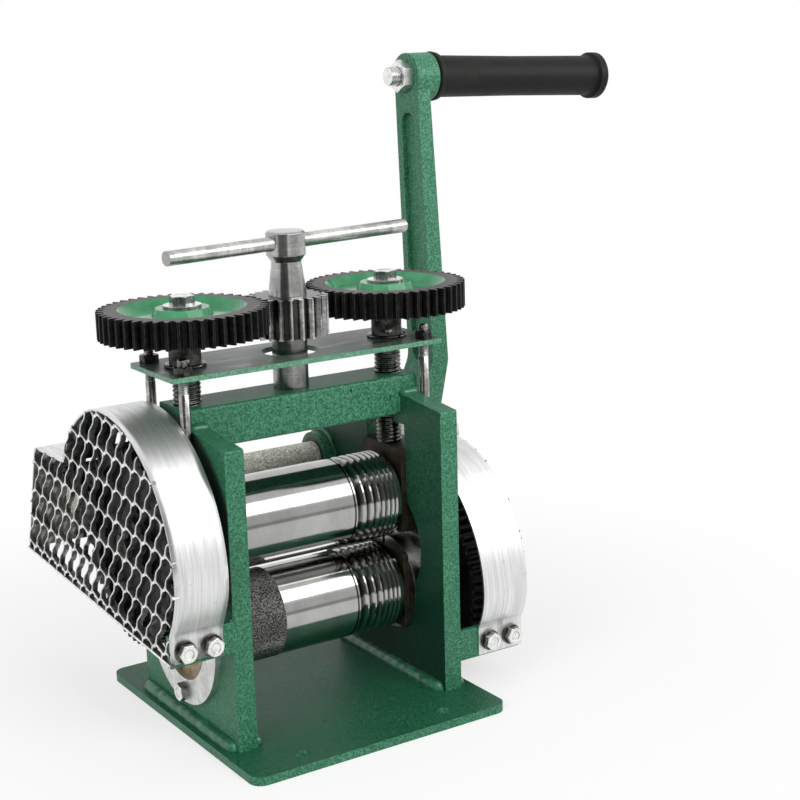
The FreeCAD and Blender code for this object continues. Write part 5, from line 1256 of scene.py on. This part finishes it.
def add_floor():
    """Pale paper: keeps the soft shadow near the machine, pure white far off."""
    f = Finish("floor_paper")
    paper = f.add("BsdfDiffuse", Color=rgba(PAPER))
    lit = f.add("Emission", Color=WHITE, Strength=1.0)
    far = f.add("VectorMath", {"operation": "LENGTH"}, Vector=f.place).outputs["Value"]
    near_edge, far_edge = WHITE_FROM
    ramp = f.add("MapRange", {"interpolation_type": "SMOOTHSTEP"}, Value=far, From_Min=near_edge,
                 From_Max=far_edge, To_Min=WHITE_NEAR, To_Max=1.0).outputs[0]
    f.end(f.mix_shaders(f.times(f.seen_or_mirrored(), ramp), paper, lit))
    size = FLOOR_HALF_SIZE
    corners = [(-size, -size, 0), (size, -size, 0), (size, size, 0), (-size, size, 0)]
    floor = four_cornered("floor", corners, f.material)


def light_world():
    """White to the camera, in reflections and through glass, a soft grey light on everything else."""
    world = bpy.data.worlds.new("studio")
    bpy.context.scene.world = world
    n = Nodes(world, "ShaderNodeOutputWorld")
    soft = n.add("Background", Color=WHITE, Strength=WORLD_LEVEL)
    white = n.add("Background", Color=WHITE, Strength=1.0)
    through = n.add("LightPath").outputs["Is Transmission Ray"]
    n.end(n.mix_shaders(n.math("MAXIMUM", n.seen_or_mirrored(), through), soft, white))


# ---- assembly ----

GREEN = hammered_green("hammered_green_enamel", (0.014, 0.088, 0.046), (0.062, 0.232, 0.134))
# a lighter copy of the green for the crank arm: painted light on its lit face
ARM_GREEN_LIT = hammered_green("hammered_green_arm_lit", (0.022, 0.112, 0.060), (0.080, 0.262, 0.156))
BEAD = bead_green()
MESH_ALUMINIUM = mesh_aluminium()
ALUMINIUM = brushed_aluminium()
GREASY_SHEET = greasy_sheet()
BLACK_GEAR = black_iron("black_gear_iron", (0.005, 0.005, 0.005), (0.016, 0.016, 0.015),
                        (0.13, 0.13, 0.12), 0.34)
SCREW_STEEL = dark_steel("oiled_screw_steel", (0.060, 0.058, 0.054), (0.230, 0.225, 0.210),
                         (0.42, 0.41, 0.39), 0.26)
ROD_STEEL = dark_steel("rolled_rod_steel", (0.300, 0.300, 0.290), (0.520, 0.520, 0.510),
                       (0.70, 0.70, 0.68), 0.22)
NUT_STEEL = dark_steel("blackened_nut_steel", (0.030, 0.030, 0.028), (0.170, 0.166, 0.158),
                       (0.50, 0.49, 0.47), 0.28)
BAR_IRON = dark_steel("dark_bar_iron", (0.012, 0.012, 0.011), (0.040, 0.039, 0.036),
                      (0.16, 0.15, 0.14), 0.40, 0.5)
ZINC_X = zinc("zinc_plate_x", "X")
ZINC_Y = zinc("zinc_plate_y", "Y")
ZINC_Z = zinc("zinc_plate_z", "Z")
ZINC_CLEAN = zinc("zinc_plate_clean", "X", 0.66, 0.40, 0.3)
POST_STEEL = turned_metal("turned_post_steel", (0.155, 0.158, 0.152), (0.345, 0.350, 0.338), 0.24, "Z",
                          900.0)
HEAD_STEEL = turned_metal("turned_head_steel", (0.30, 0.30, 0.295), (0.56, 0.56, 0.55), 0.20, "Z", 900.0)
PINION_STEEL = turned_metal("cut_pinion_steel", (0.27, 0.27, 0.263), (0.76, 0.76, 0.75), 0.24, "Z", 900.0,
                            gap_radius=PINION_GAP_R)
SILVER_X = turned_metal("turned_steel_level", (0.22, 0.22, 0.21), (0.48, 0.48, 0.465), 0.26, "X")
BAR_STEEL = turned_metal("plated_bar_steel", (0.34, 0.34, 0.32), (0.70, 0.70, 0.67), 0.33, "X", 500.0, 0.25,
                         end_shade=0.8)
PLATE_STEEL = turned_metal("milled_plate_steel", (0.52, 0.52, 0.51), (0.88, 0.885, 0.87), 0.38, "Y",
                           700.0, 0.45)
BRONZE = dull_bronze("oily_bronze", (0.016, 0.014, 0.010), (0.050, 0.040, 0.024), 0.42)
BRASS = dull_bronze("cut_brass", (0.190, 0.130, 0.055), (0.420, 0.310, 0.150), 0.38)

PAINT = [
    (GREEN, "base_plate side_frame_left side_frame_right top_beam shaft_bosses"
            " guard_tabs_left guard_tabs_right"),
    (ARM_GREEN_LIT, "crank_arm"),
    (plate_green(), "lift_plate"),
    (gear_finish("enamelled_gear_left", -SCREW_X), "screw_gear_left"),
    (gear_finish("enamelled_gear_right", SCREW_X), "screw_gear_right"),
    (BLACK_GEAR, "upper_roll_gear lower_roll_gear drive_pinion_left drive_pinion_right idler_gear"),
    (SCREW_STEEL, "pressure_screw_left pressure_screw_right"),
    (ROD_STEEL, "lift_rods"),
    (NUT_STEEL, "lift_rod_nuts crank_shaft_keys lower_roll_key upper_roll_key"),
    (BAR_IRON, "lift_bar_left lift_bar_right lift_bar_bolts pinion_set_screws idler_stud idler_fasteners"
               " lower_roll_end_bolt upper_roll_end_bolt shaft_bushes"),
    (ground_roll("ground_roll_upper", UPPER_ROLL_Z), "upper_roll"),
    (ground_roll("ground_roll_lower", LOWER_ROLL_Z), "lower_roll"),
    (bearing_steel(), "lower_bearing_rings"),
    (rough_shaft(), "cross_shaft"),
    (POST_STEEL, "spindle_post"),
    (PINION_STEEL, "spindle_pinion"),
    (HEAD_STEEL, "tee_head"),
    (BAR_STEEL, "tommy_bar"),
    (PLATE_STEEL, "keeper_plates"),
    (SILVER_X, "grip_spindle"),
    (ZINC_X, "keeper_bolts crank_hub_fasteners grip_fasteners"),
    (ZINC_Y, "guard_bolts_left guard_bolts_right"),
    (ZINC_Z, "screw_gear_bolt_left screw_gear_bolt_right"),
    (ALUMINIUM, "guard_band_left guard_band_right"),
    (MESH_ALUMINIUM, "guard_mesh_left guard_mesh_right"),
    (BRASS, "lower_bearing_left"),
    (BRONZE, "lower_bearing_right upper_block_left upper_block_right upper_roll_bushes"),
    (black_rubber(), "grip_sleeve"),
]


def paint_frame():
    for finish, names in PAINT:
        for name in names.split():
            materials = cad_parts[name].data.materials
            materials.clear()
            materials.append(finish)


def add_fasteners():
    standing_for("guard_bolts_left", "hex_bolts_guard_left",
                 lambda bm: guard_bolts(bm, LEFT_BOLTS), ZINC_Y, "frame", smooth=False)
    standing_for("guard_bolts_right", "hex_bolts_guard_right",
                 lambda bm: guard_bolts(bm, RIGHT_BOLTS), ZINC_Y, "frame", smooth=False)
    for side, places in (("left", LEFT_BOLTS), ("right", RIGHT_BOLTS)):
        extra_piece("washers_guard_" + side, lambda bm: guard_washers(bm, places),
                    NUT_STEEL, "frame", smooth=False)
    standing_for("keeper_bolts", "hex_bolts_keeper", keeper_bolts, ZINC_X, "frame",
                 smooth=False)
    standing_for("lift_rods", "threaded_lift_rods", lift_rods, ROD_STEEL,
                 "upper_carriage")
    standing_for("lift_rod_nuts", "hex_nuts_lift_rods", lift_rod_nuts, NUT_STEEL,
                 "upper_carriage", smooth=False)
    for side, x, turn in (("left", -SCREW_X, 0.35), ("right", SCREW_X, 0.15)):
        body = "screw_" + side
        standing_for("pressure_screw_" + side, "threaded_screw_" + side,
                     lambda bm: pressure_screw(bm, x), SCREW_STEEL, body)
        standing_for("screw_gear_bolt_" + side, "hex_bolt_gear_" + side,
                     lambda bm: gear_bolt(bm, x, turn), ZINC_Z, body, smooth=False)
        extra_piece("grub_screws_" + side, lambda bm: sleeve_screw(bm, x), ZINC_X, body)
    standing_for("crank_hub_fasteners", "hex_nut_hub", hub_fasteners, ZINC_CLEAN, "crank",
                 smooth=False)
    standing_for("grip_fasteners", "hex_nut_grip", grip_fasteners, ZINC_CLEAN, "crank",
                 smooth=False)


def add_welds():
    extra_piece("beam_weld_beads", beam_beads, BEAD, "frame")
    extra_piece("foot_weld_fillets", foot_beads, BEAD, "frame")
    extra_piece("boss_weld_rings", boss_beads, BEAD, "frame")
    extra_piece("tab_weld_beads", tab_beads, BEAD, "frame")


paint_frame()
guard_panel("left", left_outline(), LEFT_PANEL_X, 1, lambda p: True)
guard_panel("right", right_outline(), RIGHT_PANEL_X, -1,
            lambda p: math.hypot(p.y - SHAFT_AXIS[0], p.z - SHAFT_AXIS[1]) > SHAFT_PASS_R)
extra_piece("panel_rim_left", lambda bm: rim_strip(bm, left_outline(), LEFT_PANEL_X, 1),
            MESH_ALUMINIUM, "frame", smooth=False)
extra_piece("knurl_band", knurl_band, knurled_steel(), "lower_roll_unit", smooth=False)
band = standing_for("guard_band_left", "rolled_sheet_left", left_band, ALUMINIUM,
                    "frame")
finish_inside(band, GREASY_SHEET, Vector((0, LEFT_ARCH[0] * MM, LEFT_ARCH[1] * MM)))
standing_for("guard_tabs_left", "flat_tabs_left", left_tabs, GREEN, "frame",
             smooth=False)
add_fasteners()
add_welds()

aim_camera()
light_world()
add_floor()
add_light("key", (0.4, -2.2, 1.3), (0, 0, 0.12), 1.4, 42)
add_light("side", (-1.9, -0.9, 1.3), (0, 0, 0.15), 1.4, 29)
add_light("top", (0.1, 0.2, 2.4), (0, 0, 0), 1.8, 14)
roll_flag("flag_low", 0.42, -12, 5)
roll_flag("flag_horizon", 0.75, 5, 27)
roll_flag("flag_bright", 5.0, 31, 60, distance=0.9)
upright_flag("flag_camera", 0.10, -74, -18, 0.0, 1.0, 1.15)

bpy.context.scene.view_settings.view_transform = "Standard"
